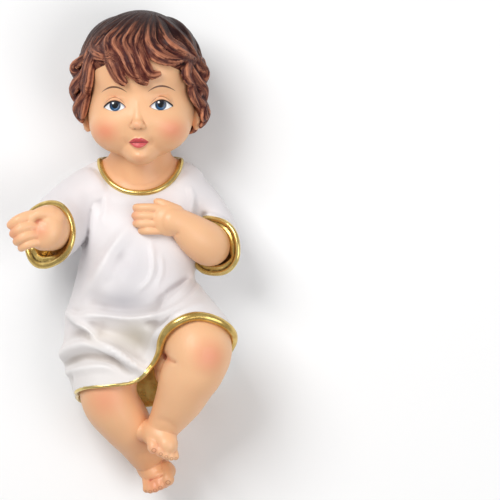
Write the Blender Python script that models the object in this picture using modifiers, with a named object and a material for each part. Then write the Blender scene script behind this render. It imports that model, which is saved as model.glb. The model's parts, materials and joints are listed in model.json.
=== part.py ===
"""An infant figure in a short-sleeved robe, cast in one piece and made to lie on its back."""
import math

import bmesh
import bpy
import numpy as np
from mathutils import Matrix

for old in list(bpy.data.objects):
    bpy.data.objects.remove(old, do_unlink=True)

LENGTH = 0.180  # crown to toes, as it lies
UNIT = LENGTH / 100  # places and radii below are in this unit, hundredths of the length
WALL = 0.0017 / UNIT  # thickness of the robe's cast edge
RIM = 0.0013 / UNIT  # radius of the gilt bead along each edge of the robe
ROBE_CELL = 0.00050 / UNIT  # cell sizes of the fused surfaces
GILT_CELL = 0.00034 / UNIT
NECK_CELL = 0.00063 / UNIT
ARM_CELL = 0.00029 / UNIT
LEG_CELL = 0.00032 / UNIT
HEAD_CELL = 0.00027 / UNIT
EAR_CELL = 0.00036 / UNIT
HAIR_CELL = 0.00031 / UNIT
FINE = 1.5  # fineness of the fused surfaces; larger is coarser
FACES = 9700  # triangles of the finished solid
SOLID_CELL = 0.00040 / UNIT  # cell size of the finished solid
REST = 0.00045 / UNIT  # height of the flat spots it lies on, above its modelled back


# Paths, rings and simple forms

def smooth_path(points, count, closed=False):
    """count points on a smooth curve through points; further columns, such as a radius, go along."""
    p = np.array(points, float)
    if closed:
        p = np.vstack([p[-1], p, p[0], p[1]])
    else:
        p = np.vstack([2 * p[0] - p[1], p, 2 * p[-1] - p[-2]])
    t = np.linspace(0, 1, 24, endpoint=False)[:, None]
    spans = []
    for a, b, c, d in zip(p, p[1:], p[2:], p[3:]):
        bend, twist = 2 * a - 5 * b + 4 * c - d, 3 * b - a - 3 * c + d
        spans.append(0.5 * (2 * b + (c - a) * t + bend * t**2 + twist * t**3))
    fine = np.vstack([*spans, p[-2][None]])
    along = np.concatenate([[0], np.cumsum(np.linalg.norm(np.diff(fine[:, :3], axis=0), axis=1))])
    at = np.linspace(0, along[-1], count, endpoint=not closed)
    return np.column_stack([np.interp(at, along, column) for column in fine.T])


def unit(v):
    v = np.asarray(v, float)
    return v / np.maximum(np.linalg.norm(v, axis=-1, keepdims=True), 1e-9)


def mesh_object(name, points, faces):
    mesh = bpy.data.meshes.new(name)
    mesh.from_pydata([tuple(p) for p in points], [], faces)
    work = bmesh.new()
    work.from_mesh(mesh)
    bmesh.ops.recalc_face_normals(work, faces=work.faces)
    work.to_mesh(mesh)
    work.free()
    made = bpy.data.objects.new(name, mesh)
    bpy.context.scene.collection.objects.link(made)
    return made


def loft(name, rings):
    """A closed skin over rings of equally many points, with a flat cap at each end."""
    rings = np.asarray(rings, float)
    count, sides = rings.shape[:2]
    faces = []
    for r in range(count - 1):
        for s in range(sides):
            n = (s + 1) % sides
            faces.append((r * sides + s, r * sides + n, (r + 1) * sides + n, (r + 1) * sides + s))
    faces.append(tuple(range(sides))[::-1])
    faces.append(tuple((count - 1) * sides + s for s in range(sides)))
    return mesh_object(name, rings.reshape(-1, 3), faces)


def ring(centre, across, up, radius_across, radius_up, sides):
    turn = np.linspace(0, 2 * math.pi, sides, endpoint=False)[:, None]
    return centre + np.cos(turn) * across * radius_across + np.sin(turn) * up * radius_up


def sweep(name, stations, sides=20, steps=18, up=(0.3, 0.2, 1), flat=1.0, flutes=0, flute=0.0):
    """A round-ended limb, finger or lock through stations of (x, y, z, radius).

    flat below 1 makes it a strap across up, and flutes are shallow ridges along it."""
    path = smooth_path(stations, steps)
    centres, radii = path[:, :3], path[:, 3]
    tangent = unit(np.gradient(centres, axis=0))
    ups = np.broadcast_to(np.asarray(up, float), centres.shape)
    across = unit(np.cross(tangent, ups))
    over = unit(np.cross(across, tangent))
    turn = np.linspace(0, 2 * math.pi, sides, endpoint=False)
    profile = 1 + flute * np.cos(flutes * turn)
    rings = []
    cap = np.radians([12, 32, 55, 75])
    order = [(0, -math.cos(a), math.sin(a)) for a in cap]
    order += [(i, 0.0, 1.0) for i in range(steps)]
    order += [(steps - 1, math.cos(a), math.sin(a)) for a in cap[::-1]]
    for i, ahead, share in order:
        r = radii[i]
        centre = centres[i] + tangent[i] * r * ahead
        side = np.cos(turn)[:, None] * across[i] * (profile * r * share)[:, None]
        rings.append(centre + side + np.sin(turn)[:, None] * over[i] * (profile * r * share * flat)[:,
                None])
    return loft(name, rings)


def blob(name, centre, radii, turn=(0, 0, 0), detail=4):
    """An ellipsoid; turn is in degrees about x, y and z."""
    bpy.ops.mesh.primitive_ico_sphere_add(subdivisions=detail, radius=1)
    made = bpy.context.object
    made.name = made.data.name = name
    rotation = Matrix.Rotation(math.radians(turn[2]), 4, "Z") @ Matrix.Rotation(math.radians(turn[1]), 4,
            "Y")
    rotation = rotation @ Matrix.Rotation(math.radians(turn[0]), 4, "X")
    made.data.transform(Matrix.Translation(centre) @ rotation @ Matrix.Diagonal((*radii, 1)))
    return made


def points_of(made):
    co = np.empty(len(made.data.vertices) * 3, np.float32)
    made.data.vertices.foreach_get("co", co)
    return co.reshape(-1, 3).astype(float)


def normals_of(made):
    no = np.empty(len(made.data.vertices) * 3, np.float32)
    made.data.vertices.foreach_get("normal", no)
    return no.reshape(-1, 3).astype(float)


def set_points(made, points):
    made.data.vertices.foreach_set("co", points.astype(np.float32).ravel())
    made.data.update()


def applied(made):
    """The object with its modifiers applied."""
    graph = bpy.context.evaluated_depsgraph_get()
    mesh = bpy.data.meshes.new_from_object(made.evaluated_get(graph))
    made.modifiers.clear()
    old, made.data = made.data, mesh
    bpy.data.meshes.remove(old)
    return made


def join(name, pieces):
    """Pieces in one mesh, still separate shells."""
    work = bmesh.new()
    for piece in pieces:
        work.from_mesh(piece.data)
        bpy.data.objects.remove(piece)
    mesh = bpy.data.meshes.new(name)
    work.to_mesh(mesh)
    work.free()
    made = bpy.data.objects.new(name, mesh)
    bpy.context.scene.collection.objects.link(made)
    return made


def fuse(name, pieces, voxel, smooth=0, factor=0.5):
    """One closed skin round overlapping pieces, with the creases where they meet smoothed."""
    made = join(name, pieces)
    remesh = made.modifiers.new("Remesh", "REMESH")
    remesh.mode = "VOXEL"
    remesh.voxel_size = voxel * FINE
    remesh.use_smooth_shade = True
    if smooth:
        soften = made.modifiers.new("Smooth", "SMOOTH")
        soften.factor = factor
        soften.iterations = max(1, round(smooth / FINE**2))
    return applied(made)


# Robe

def superellipse(turn, power):
    c, s = np.cos(turn), np.sin(turn)
    return np.sign(c) * np.abs(c) ** (2 / power), np.sign(s) * np.abs(s) ** (2 / power)


LEFT_LEG = [  # places and radii from the hip over the raised knee to the ankle
    (9.8, -12.4, 13.0, 6.0), (12.4, -16.4, 19.0, 6.7), (14.9, -20.0, 23.2, 6.9), (14.3, -23.7, 23.2, 6.35),
    (12.6, -26.9, 21.9, 5.9), (11.1, -30.3, 20.2, 5.2), (9.4, -33.3, 18.6, 4.35), (7.9, -35.7, 17.4, 3.6),
]
RIGHT_LEG = [
    (-1.8, -19.0, 12.5, 6.4), (-3.8, -26.5, 15.4, 5.95), (-3.5, -31.2, 15.2, 5.9), (-0.6, -35.6, 13.2,
            5.35),
    (1.9, -39.2, 10.6, 4.6), (3.8, -42.5, 8.3, 3.85),
]
HEM = [  # angle from the body's left side over its front, the place of the hem and its bead's radius
    (0, 21.2, -21.8, 16.6, 0.72), (15, 20.9, -18.4, 22.2, 0.84), (32, 19.2, -15.2, 26.2, 0.92),
    (42, 17.3, -13.8, 27.5, 0.96), (50, 15.1, -13.2, 28.0, 0.98), (58, 13.0, -13.7, 28.0, 0.98),
    (67, 10.8, -15.3, 27.2, 0.94), (77, 8.8, -17.6, 25.8, 0.88),
    (88, 6.9, -20.6, 24.0, 0.76), (98, 5.0, -24.0, 22.6, 0.62), (108, 2.3, -26.7, 22.3, 0.52),
    (122, -2.7, -27.6, 23.0, 0.46), (140, -7.6, -28.3, 20.0, 0.44), (160, -10.8, -30.2, 12.4, 0.40),
    (180, -10.9, -31.6, 5.8, 0.32), (200, -8.6, -32.4, 2.2, 0.38), (225, -2.6, -32.9, 1.4, 0.50),
    (255, 4.4, -32.6, 1.3, 0.50), (285, 10.2, -31.8, 1.3, 0.50), (315, 15.4, -30.0, 1.7, 0.50),
    (335, 18.5, -28.0, 4.4, 0.54), (350, 20.2, -25.2, 10.4, 0.62),
]
TORSO = [  # side y, how far the front drops, how far the back rises, then left, right, back and front
    (18.6, 6.9, 0.6, -6.0, 11.2, 4.4, 16.6),
    (17.7, 7.1, 0.3, -8.6, 13.6, 3.0, 17.4),
    (15.7, 6.6, 0.0, -10.4, 15.8, 1.7, 17.9),
    (11.5, 4.4, 0.0, -10.9, 16.8, 0.7, 18.9),
    (7.0, 2.4, 0.0, -10.6, 16.2, 0.0, 19.8),
    (1.0, 0.8, 0.0, -10.0, 15.0, -0.3, 20.6),
    (-4.0, 0.0, 0.0, -10.3, 13.8, -0.3, 21.2),
    (-9.0, 0.0, 0.0, -11.5, 14.4, -0.3, 21.5),
]


def through(columns, at, period=None):
    """A smooth curve through rows of (position, values ...), read at the given positions."""
    c = np.array(columns, float)
    if period:
        once_round = [period, *[0] * (c.shape[1] - 1)]
        c = np.vstack([c[-2:] - once_round, c, c[:2] + once_round])
    x = c[:, 0]
    slope = np.gradient(c[:, 1:], x, axis=0)
    k = np.clip(np.searchsorted(x, at, side="right") - 1, 0, len(x) - 2)
    h = (x[k + 1] - x[k])[:, None]
    t = ((at - x[k])[:, None]) / h
    p, q, m, n = c[k, 1:], c[k + 1, 1:], slope[k] * h, slope[k + 1] * h
    ease = 3 * t**2 - 2 * t**3
    return (1 - ease) * p + ease * q + (t**3 - 2 * t**2 + t) * m + (t**3 - t**2) * n


def outward(rings):
    """The surface directions of a grid of rings, away from its middle."""
    rings = np.asarray(rings, float)
    round_about = np.roll(rings, -1, 1) - np.roll(rings, 1, 1)
    along = np.gradient(rings, axis=0)
    n = unit(np.cross(round_about, along))
    away = rings - rings.mean(1, keepdims=True)
    return n * np.sign((n * away).sum())


def bag(name, rings, plain, out, depth, bead_radius, sink=0.0, wall=WALL):
    """Cloth solid at its closed end, hollow at its mouth, with its gilt lining and the bead round the mouth.

    rings run from the closed end to the mouth, plain are these before any folds; out points from them.
    depth is the share of them that is hollow, and sink thickens the cloth away from the mouth."""
    first = round(len(plain) * (1 - depth))

    def inside(thick, extra=0.0):
        deep = thick + (sink + extra) * np.linspace(1, 0, len(plain) - first)[:, None, None] ** 0.7
        layer = (plain[first:] - out[first:] * deep)[::-1]
        middle = layer[-1].mean(0)
        return [*layer, middle + (layer[-1] - middle) * 0.6]

    body = loft(name, [*rings, *inside(wall)])
    lining = loft(name + "_lining", [*inside(wall - 0.15)[::-1], *inside(wall + 0.25)])
    bead = tube_loop(name + "_bead", rings[-1] - out[-1] * wall * 0.5, bead_radius)
    return body, [lining, bead]


def tube_loop(name, path, radius, sides=12):
    """A round bead along a closed path."""
    tangent = unit(np.roll(path, -1, 0) - np.roll(path, 1, 0))
    out = unit(path - path.mean(0))
    across = unit(np.cross(tangent, out))
    over = unit(np.cross(across, tangent))
    turn = np.linspace(0, 2 * math.pi, sides, endpoint=False)
    sizes = np.broadcast_to(radius, len(path))
    points = [p + (np.outer(np.cos(turn), a) + np.outer(np.sin(turn), o)) * r
              for p, a, o, r in zip(path, across, over, sizes)]
    n = len(path)
    faces = []
    for i in range(n):
        for s in range(sides):
            t, j = (s + 1) % sides, (i + 1) % n
            faces.append((i * sides + s, i * sides + t, j * sides + t, j * sides + s))
    return mesh_object(name, np.vstack(points), faces)


SLEEVES = {  # rings of each sleeve: middle, direction and half-widths, from the shoulder to the mouth
    "right": [
        ((-3.6, 11.0, 9.0), (-0.92, -0.34, 0.15), 5.3, 5.3),
        ((-6.0, 11.2, 9.8), (-0.86, -0.44, 0.25), 6.8, 6.7),
        ((-10.2, 8.9, 11.0), (-0.76, -0.48, 0.45), 6.6, 6.5),
        ((-13.1, 6.3, 13.0), (-0.68, -0.36, 0.64), 6.5, 6.5),
        ((-14.9, 4.4, 15.4), (-0.64, -0.12, 0.75), 6.8, 6.8),
        ((-16.1, 3.3, 17.6), (-0.66, 0.10, 0.75), 6.95, 7.1),
    ],
    "left": [
        ((7.6, 11.6, 9.0), (0.88, -0.46, 0.0), 5.3, 5.3),
        ((9.7, 11.6, 9.0), (0.80, -0.60, 0.05), 6.8, 6.7),
        ((13.7, 8.0, 8.6), (0.60, -0.78, 0.18), 6.55, 6.4),
        ((16.3, 4.2, 9.0), (0.20, -0.72, 0.66), 6.5, 6.3),
        ((17.3, 1.9, 11.2), (-0.25, -0.30, 0.92), 6.7, 6.3),
        ((18.0, 1.1, 14.0), (-0.56, -0.02, 0.82), 6.95, 6.15),
    ],
}


CUFF_WAVES = {  # angle round the mouth, half-width of the wave in radians and how far it stands out
    "right": [(200, 0.45, 0.55), (255, 0.40, -0.30), (320, 0.5, 0.25), (60, 0.5, -0.20), (126, 0.5, 1.00)],
    "left": [(30, 0.4, 0.25), (88, 0.4, 0.50), (150, 0.45, 0.05), (215, 0.4, -0.20), (296, 0.5, -0.50)],
}


def cuffed(rings, waves):
    """Sleeve rings with soft waves growing towards the mouth."""
    turn = np.linspace(0, 2 * math.pi, rings.shape[1], endpoint=False)
    rise = np.zeros(len(turn))
    for at, wide, height in waves:
        away = np.angle(np.exp(1j * (turn - math.radians(at))))
        rise += height * np.exp(-((away / wide) ** 2))
    out = unit(rings - rings.mean(1, keepdims=True))
    grow = np.linspace(-0.4, 1, len(rings)).clip(0, 1)[:, None, None] ** 1.5
    return rings + out * rise[None, :, None] * grow


def sleeve_rings(rows, sides, count):
    """Rings swinging from the shoulder round the elbow to the mouth."""
    first, last = unit(rows[0][1]), unit(rows[-1][1])
    hinge = unit(np.cross(first, last))
    rings = []
    for middle, way, wide, tall in rows:
        way = unit(way)
        across = unit(np.cross(hinge, way))
        up = unit(np.cross(way, across))
        rings.append(ring(np.array(middle), across, up, wide, tall, sides))
    return smooth_rings(rings, count)


def torso_rings(sides):
    turn = np.linspace(0, 2 * math.pi, sides, endpoint=False)
    cf, sf = superellipse(turn, 2.2)
    cb, sb = superellipse(turn, 2.9)
    front = np.sin(turn) > 0
    c, s = np.where(front, cf, cb), np.where(front, sf, sb)
    rings = []
    for y, drop, rise, left, right, low, high in TORSO:
        x = (left + right) / 2 + c * (right - left) / 2
        z = (low + high) / 2 + s * (high - low) / 2
        level = y - drop * np.maximum(np.sin(turn), 0) ** 1.2 + rise * np.maximum(-np.sin(turn), 0)
        rings.append(np.column_stack([x, level, z]))
    return turn, rings


# Folds of the robe

FRONT_FOLDS = [  # points on the figure's front, then half-width and height
    ([(1.2, 5.4), (-2.6, 0.4), (-5.6, -4.6), (-7.8, -8.6), (-9.2, -11.6)], 1.3, 0.95),
    ([(4.9, 2.4), (5.5, -2.4), (4.7, -6.0), (1.6, -9.4)], 0.5, 0.55),
    ([(6.8, -0.4), (7.3, -4.2), (6.0, -7.8)], 0.45, 0.36),
    ([(13.9, -3.0), (12.6, -7.2), (9.6, -10.0), (5.4, -12.4)], 0.9, 0.75),
    ([(16.0, -6.0), (13.8, -9.2), (10.2, -11.8)], 0.6, 0.45),
    ([(-14.4, -13.6), (-10.4, -13.6), (-4.4, -13.5), (0.6, -13.9), (6.4, -13.2), (10.9, -11.6),
      (14.8, -10.8)], 0.95, 0.85),
    ([(-13.8, -11.8), (-10.4, -14.4), (-3.5, -19.6), (4.0, -24.9), (6.4, -26.8)], 0.9, 1.5),
    ([(13.0, -12.0), (8.9, -14.6), (6.0, -17.9), (4.4, -21.6)], 0.6, 0.75),
    ([(17.0, -10.6), (11.6, -13.0), (7.2, -17.0), (4.6, -20.4)], 1.0, 0.45),
    ([(-16.6, -24.2), (-13.2, -21.4), (-10.6, -19.9), (-7.0, -19.4), (-2.0, -21.4), (2.6, -25.0)], 1.2,
     1.35),
    ([(-15.4, -26.4), (-9.7, -24.6), (-4.4, -23.9), (-1.6, -25.2)], 0.8, 0.75),
    ([(-7.2, 13.2), (-6.8, 7.6), (-7.8, 1.6), (-9.6, -3.0)], 0.9, 0.55),
    ([(-4.6, 12.4), (-4.4, 8.8), (-5.6, 4.6)], 0.6, 0.30),
    ([(12.4, 14.2), (13.6, 10.4), (13.0, 6.6)], 0.7, 0.45),
]
FRONT_HOLLOWS = [
    ([(-9.6, -10.0), (-3.8, -11.6), (2.4, -11.9), (7.6, -10.6), (11.0, -8.0)], 1.6, -0.9),
    ([(-8.4, -15.5), (-2.2, -16.8), (2.0, -18.8), (4.0, -22.0)], 1.9, -1.25),
    ([(3.0, -15.2), (6.8, -14.9), (9.8, -13.2)], 1.0, -0.6),
    ([(-12.4, -17.4), (-8.4, -17.4), (-3.4, -20.2)], 0.9, -0.6),
    ([(-14.2, -24.2), (-9.0, -22.0), (-4.0, -22.4), (0.0, -24.4)], 0.8, -0.9),
    ([(-9.2, 6.6), (-9.2, 1.8), (-9.9, -2.4)], 1.1, -0.85),
    ([(0.2, 0.2), (-2.4, -4.4), (-4.6, -8.4)], 2.0, -0.45),
    ([(14.6, 11.0), (14.9, 7.4), (14.2, 4.4)], 0.9, -0.55),
]
SWELLS = [  # middle, reach and height of a broad rise of the robe
    ((-13.2, -22.4, 8.0), (5.0, 3.0, 9.0), 0.75),
    ((-1.0, -6.0, 21.0), (8.0, 5.0, 6.0), 0.8),
    ((-12.6, -6.0, 10.0), (4.0, 5.0, 8.0), 0.3),
]


def swell(surface, directions, centre, reach, height):
    """surface moved out round a centre, fading with the distance."""
    gap = (surface - centre) / reach
    return surface + directions * (height * np.exp(-(gap**2).sum(-1)))[..., None]


def crease(surface, directions, path, width, height, facing):
    """surface moved out (or in) along a soft fold laid over the front or back of the figure."""
    points, normals = surface.reshape(-1, 3), directions.reshape(-1, 3)
    line = smooth_path([(*p, 0) for p in path], 40)[:, :2]
    best = np.full(len(points), 1e9)
    at = np.zeros(len(points))
    a, b = line[:-1], line[1:]
    flat = points[:, :2]
    for k, (p, q) in enumerate(zip(a, b)):
        d = q - p
        t = np.clip(((flat - p) @ d) / (d @ d), 0, 1)
        gap = np.linalg.norm(flat - p - t[:, None] * d, axis=1)
        near = gap < best
        best[near] = gap[near]
        at[near] = (k + t[near]) / len(a)
    fade = np.clip(np.minimum(at, 1 - at) * 4 + 0.12, 0, 1)
    face = np.clip((normals[:, 2] * facing + 0.3) * 1.6, 0, 1)
    moved = points + normals * (np.exp(-((best / width) ** 2)) * fade * face * height)[:, None]
    return moved.reshape(surface.shape)


def clear_of(points, stations, margin):
    """points pushed out of a limb so that they stay at least margin above its skin."""
    path = smooth_path(stations, 36)
    flat = points.reshape(-1, 3)
    gap = np.linalg.norm(flat[:, None] - path[None, :, :3], axis=2) - path[None, :, 3]
    near = gap.argmin(1)
    least = gap[np.arange(len(flat)), near]
    away = unit(flat - path[near, :3])
    lift = np.maximum(margin - least, 0)
    return (flat + away * lift[:, None]).reshape(points.shape)


def robe_parts():
    sides = 180
    turn, upper = torso_rings(sides)
    hem = through(HEM, np.degrees(turn), 360)
    hem, bead = hem[:, :3], hem[:, 3]
    waist = upper[-1]
    reach = np.linalg.norm(hem - waist, axis=1)[:, None]
    bend = waist + (unit((waist - waist.mean(0)) * [1, 0, 1]) * 0.06 + [0, -0.38, 0]) * reach
    bend[:, 0] -= 2.6 * np.exp(-(((np.degrees(turn) - 172) / 38) ** 2))
    lower = [(1 - t) ** 2 * waist + 2 * (1 - t) * t * bend + t**2 * hem for t in np.linspace(0, 1, 13)[1:]]
    rings = smooth_rings([*upper, *lower], 96)
    below = 32
    for turns in range(3):
        for leg in (LEFT_LEG, RIGHT_LEG):
            rings[below:] = clear_of(rings[below:], leg, WALL + 0.35)
        soft = rings.copy()
        soft[1:-1] = 0.25 * (rings[:-2] + rings[2:]) + 0.5 * rings[1:-1]
        soft = 0.25 * (np.roll(soft, 1, 1) + np.roll(soft, -1, 1)) + 0.5 * soft
        rings[below + 1 :] = soft[below + 1 :]
    plain, out = rings, outward(rings)
    for centre, reach, height in SWELLS:
        rings = swell(rings, outward(rings), centre, reach, height)
    for path, width, height in FRONT_FOLDS + FRONT_HOLLOWS:
        rings = crease(rings, outward(rings), path, width, height, 1)
    body, gilt = bag("robe_body", rings, plain, out, 0.27, bead, sink=1.5)
    collar = rings[0] * 0.985 + rings[0].mean(0) * 0.015 + (0, 0, 0.3)
    gilt.append(tube_loop("neck_bead", collar, RIM * 0.88))
    pieces = [body]
    for side, rows in SLEEVES.items():
        cloth = cuffed(sleeve_rings(rows, 96, 44), CUFF_WAVES[side])
        out = unit(cloth - cloth.mean(1, keepdims=True))
        cuff, trim = bag(side + "_sleeve", cloth, cloth, out, 0.16, RIM * CUFF_BEAD[side], sink=2.0)
        pieces.append(cuff)
        gilt += trim
        gilt += lining_folds(side, cloth, unit(rows[-1][1]))
    return pieces, gilt


CUFF_BEAD = {"right": 0.95, "left": 0.76}  # shares of the bead's radius
LINING_FOLDS = {  # the angles a fold runs between round the mouth, how far in and down it lies, its radius
    "right": [(160, 290, 0.76, 0.5, 0.70)],
    "left": [(50, 205, 0.735, 0.0, 0.42), (165, 350, 0.73, -0.1, 0.46), (180, 330, 0.60, 0.1, 0.46)],
}


def lining_folds(side, cloth, way):
    """Soft gilt folds of the lining, lying inside the mouth of a sleeve."""
    mouth = cloth[-1]
    middle = mouth.mean(0)
    made = []
    for start, end, inward, down, radius in LINING_FOLDS[side]:
        turns = np.radians(np.linspace(start, end, 15)) / (2 * math.pi) * len(mouth)
        share = np.linspace(-1, 1, 15)
        places = []
        for t, f in zip(turns, share):
            edge = mouth[round(t) % len(mouth)] - middle
            places.append(middle + edge * (inward + 0.08 * f * f) - way * (down + 0.5 * f * f))
        sizes = radius * np.clip(1 - share**2, 0, 1) ** 0.5 + 0.12
        made.append(sweep(side + "_lining_fold", [(*p, r) for p, r in zip(places, sizes)], sides=14,
                          steps=48))
    return made


def smooth_rings(rings, count):
    """count rings on a smooth surface through the given ones."""
    rings = np.asarray(rings, float)
    middles = rings.mean(1)
    flat = np.column_stack([middles, rings.reshape(len(rings), -1)])
    return smooth_path(flat, count)[:, 3:].reshape(count, -1, 3)


# Head

HEAD_CENTRE = np.array([2.9, 33.1, 14.8])
HEAD_TURN = (4.0, -2.5, 1.0)  # nod, turn and tilt in degrees


def head_matrix():
    nod, turn, tilt = (math.radians(a) for a in HEAD_TURN)
    m = Matrix.Rotation(tilt, 4, "Z") @ Matrix.Rotation(turn, 4, "Y") @ Matrix.Rotation(nod, 4, "X")
    return Matrix.Translation(HEAD_CENTRE) @ m


HEAD_FORMS = [  # centre and radii of the head's masses: x to its left ear, y up and z to the nose
    ((0, 3.1, -0.6), (11.2, 12.3, 12.5)),
    ((0, -4.6, 2.0), (11.0, 9.6, 10.4)),
    ((-4.7, -7.0, 5.2), (5.6, 5.3, 5.6)),
    ((4.7, -7.0, 5.2), (5.6, 5.3, 5.6)),
    ((0, -11.8, 6.0), (3.8, 3.4, 4.4)),
    ((0, 4.2, 6.6), (9.0, 6.6, 5.4)),
]


def head_radius(ways, forms=HEAD_FORMS, sharp=26):
    """How far the head reaches from its middle along each way: the masses above, blended."""
    total = np.zeros(len(ways))
    for centre, radii in forms:
        c, r = np.array(centre, float), np.array(radii, float)
        w, o = ways / r, -c / r
        a = (w * w).sum(1)
        b = (w * o).sum(1)
        disc = b * b - a * ((o * o).sum() - 1)
        far = np.where(disc > 0, (-b + np.sqrt(np.maximum(disc, 0))) / a, 0)
        total += np.maximum(far, 1e-3) ** sharp
    return total ** (1 / sharp)


def bump(points, centre, radii, height, way):
    """points pushed along way by a soft bump of that height round centre."""
    q = (points - np.array(centre, float)) / np.array(radii, float)
    return points + np.exp(-(q * q).sum(1))[:, None] * height * unit(way)


def face_z(x, y):
    """How far forward the plain head reaches at x and y."""
    z = 11.0
    for _ in range(24):
        p = np.array([x, y, z])
        z += float(head_radius(unit(p)[None])[0]) - np.linalg.norm(p)
    return z


EYE = (4.7, -2.7)  # middle of an eye
EYE_BALL = 2.75


def plain_face(points):
    """Soft forms of the face on the plain head: sockets, cheeks, brows and chin."""
    for side in (-1, 1):
        eye = np.array([side * EYE[0], EYE[1], 10.6])
        points = bump(points, eye + (-side * 0.5, 0.2, 0), (3.0, 2.0, 4), -0.85, (0, 0, 1))
        points = bump(points, eye + (side * 0.2, 3.3, 0), (3.0, 1.2, 4), 0.34, (0, 0, 1))
        points = bump(points, (side * 5.8, -7.6, 9.6), (3.3, 2.9, 4), 0.45, (side * 0.5, 0, 1))
        points = bump(points, (side * 2.75, -10.2, 11.0), (0.6, 0.7, 3), -0.42, (0, 0, 1))
        points = bump(points, (side * 2.7, -8.3, 11.4), (0.8, 1.4, 3), -0.16, (0, 0, 1))
    points = bump(points, (0, 6.0, 11), (5.2, 4.0, 6), 0.30, (0, 0, 1))
    points = bump(points, (0, -9.9, 11.6), (2.3, 1.9, 4), 0.50, (0, 0, 1))
    points = bump(points, (0, -12.2, 11), (1.7, 0.5, 4), -0.38, (0, 0, 1))
    points = bump(points, (0, -13.6, 10), (2.1, 1.4, 4), 0.65, (0, -0.2, 1))
    return points


def on_face(rows, out=0.0):
    """Stations of a feature lying on the face, from rows of (x, y, radius) or (x, y, radius, lift)."""
    return [(r[0], r[1], face_z(r[0], r[1]) + out + (r[3] if len(r) > 3 else 0), r[2]) for r in rows]


UPPER_LID = [(-2.35, -0.50, 0.20), (-1.45, 0.74, 0.32), (-0.1, 1.26, 0.38), (1.25, 0.92, 0.36),
             (2.45, -0.20, 0.24)]
LOWER_LID = [(-2.25, -0.62, 0.18), (-1.1, -1.16, 0.22), (0.2, -1.32, 0.24), (1.45, -1.0, 0.22),
             (2.35, -0.36, 0.18)]


def face_features():
    """Eyeballs, lids, nose and lips."""
    made = []
    for side in (-1, 1):
        x, y = side * EYE[0], EYE[1]
        front = face_z(x, y) - 0.30
        middle = np.array([x, y, front - EYE_BALL])
        made.append(blob("eyeball", middle, (EYE_BALL,) * 3))
        for rows in (UPPER_LID, LOWER_LID):
            stations = []
            for dx, dy, r in rows:
                deep = math.sqrt(max(EYE_BALL**2 - dx * dx - dy * dy, 1.4))
                stations.append((x + side * dx, y + dy, middle[2] + deep - 0.04, r))
            made.append(sweep("lid", stations, sides=14, steps=18, up=(0, 1, 0.2)))
        crease_line = [(side * (EYE[0] + dx), y + dy, r) for dx, dy, r in ((-2.1, 1.2, 0.3),
                (0.1, 2.15, 0.45), (2.3, 1.3, 0.3))]
        made.append(sweep("fold", on_face(crease_line, -0.66), sides=14, steps=14, up=(0, 1, 0.2)))
        made.append(blob("nostril_wing", (side * 0.98, -7.0, face_z(0, -7.0) + 0.22), (0.66, 0.58, 0.8)))
        made.append(sweep("upper_lip", on_face([(side * 1.95, -10.3, 0.16), (side * 1.15, -9.92, 0.42),
                                                (side * 0.50, -9.66, 0.54),
                                                (0, -9.78, 0.48)], 0.42), sides=14, steps=14))
    made.append(sweep("lower_lip", on_face([(-1.6, -10.5, 0.2), (-0.8, -10.92, 0.54), (0, -11.02, 0.64),
                                            (0.8, -10.92, 0.54),
                                            (1.6, -10.5, 0.2)], 0.42), sides=14, steps=16))
    base = face_z(0, -6.6)
    made.append(sweep("nose", [(0, -2.4, face_z(0, -2.4) - 1.35, 1.2), (0, -4.4, face_z(0, -4.4) - 1.0,
            1.15),
                               (0, -5.8, base - 0.3, 1.12), (0, -6.5, base + 0.15,
                                       1.15)], sides=20, steps=14, up=(1, 0, 0)))
    made.append(blob("nose_tip", (0, -6.6, base + 0.55), (1.28, 1.02, 1.0)))
    return made


def head_part(detail=6):
    bpy.ops.mesh.primitive_ico_sphere_add(subdivisions=detail, radius=1)
    made = bpy.context.object
    made.name = "head"
    ways = unit(points_of(made))
    set_points(made, plain_face(ways * head_radius(ways)[:, None]))
    made = join("head", [made, *face_features()])
    made.data.transform(head_matrix())
    return made


def ear_parts():
    parts = []
    for side in (-1, 1):
        base = np.array([side * 10.6, -5.4, -0.4])
        t = np.radians(np.linspace(-70, 220, 9))
        rim = [(*(base + (side * 1.1, 2.5 * math.sin(a) + 0.2, -1.7 * math.cos(a) * 0.9)), 0.62) for a in t]
        parts.append(sweep("ear_rim", rim, sides=12, steps=24))
        parts.append(blob("ear_bowl", base + (side * 0.2, 0, 0), (0.9, 2.4, 1.7)))
        parts.append(blob("ear_lobe", base + (side * 0.7, -2.2, 0.6), (0.7, 0.9, 0.8)))
    made = join("ears", parts)
    made.data.transform(head_matrix())
    return made


# Hair

def hair_lift(ways):
    """How far the cap of hair stands off the head, below zero where the face, ears and neck are bare."""
    surface = ways * head_radius(ways)[:, None]
    x, y, z = surface.T
    brow = 6.4 - 0.030 * (x + 0.5) ** 2 - y
    side = (10.9 + 0.05 * y - np.abs(x)) * 1.4
    face = np.minimum(np.minimum(brow, side + 0.8), (z + 2.0) * 1.5)
    jaw = np.minimum(-4.6 - y, (z + 1.6) * 1.2)
    nape = -10.8 - y
    bare = np.maximum(np.maximum(face, jaw), nape)
    return 1.15 - 2.8 / (1 + np.exp(-bare / 0.45))


def hair_cap(detail=6):
    bpy.ops.mesh.primitive_ico_sphere_add(subdivisions=detail, radius=1)
    made = bpy.context.object
    made.name = "hair_cap"
    ways = unit(points_of(made))
    set_points(made, ways * (head_radius(ways) + hair_lift(ways))[:, None])
    made.data.transform(head_matrix())
    return made


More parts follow.
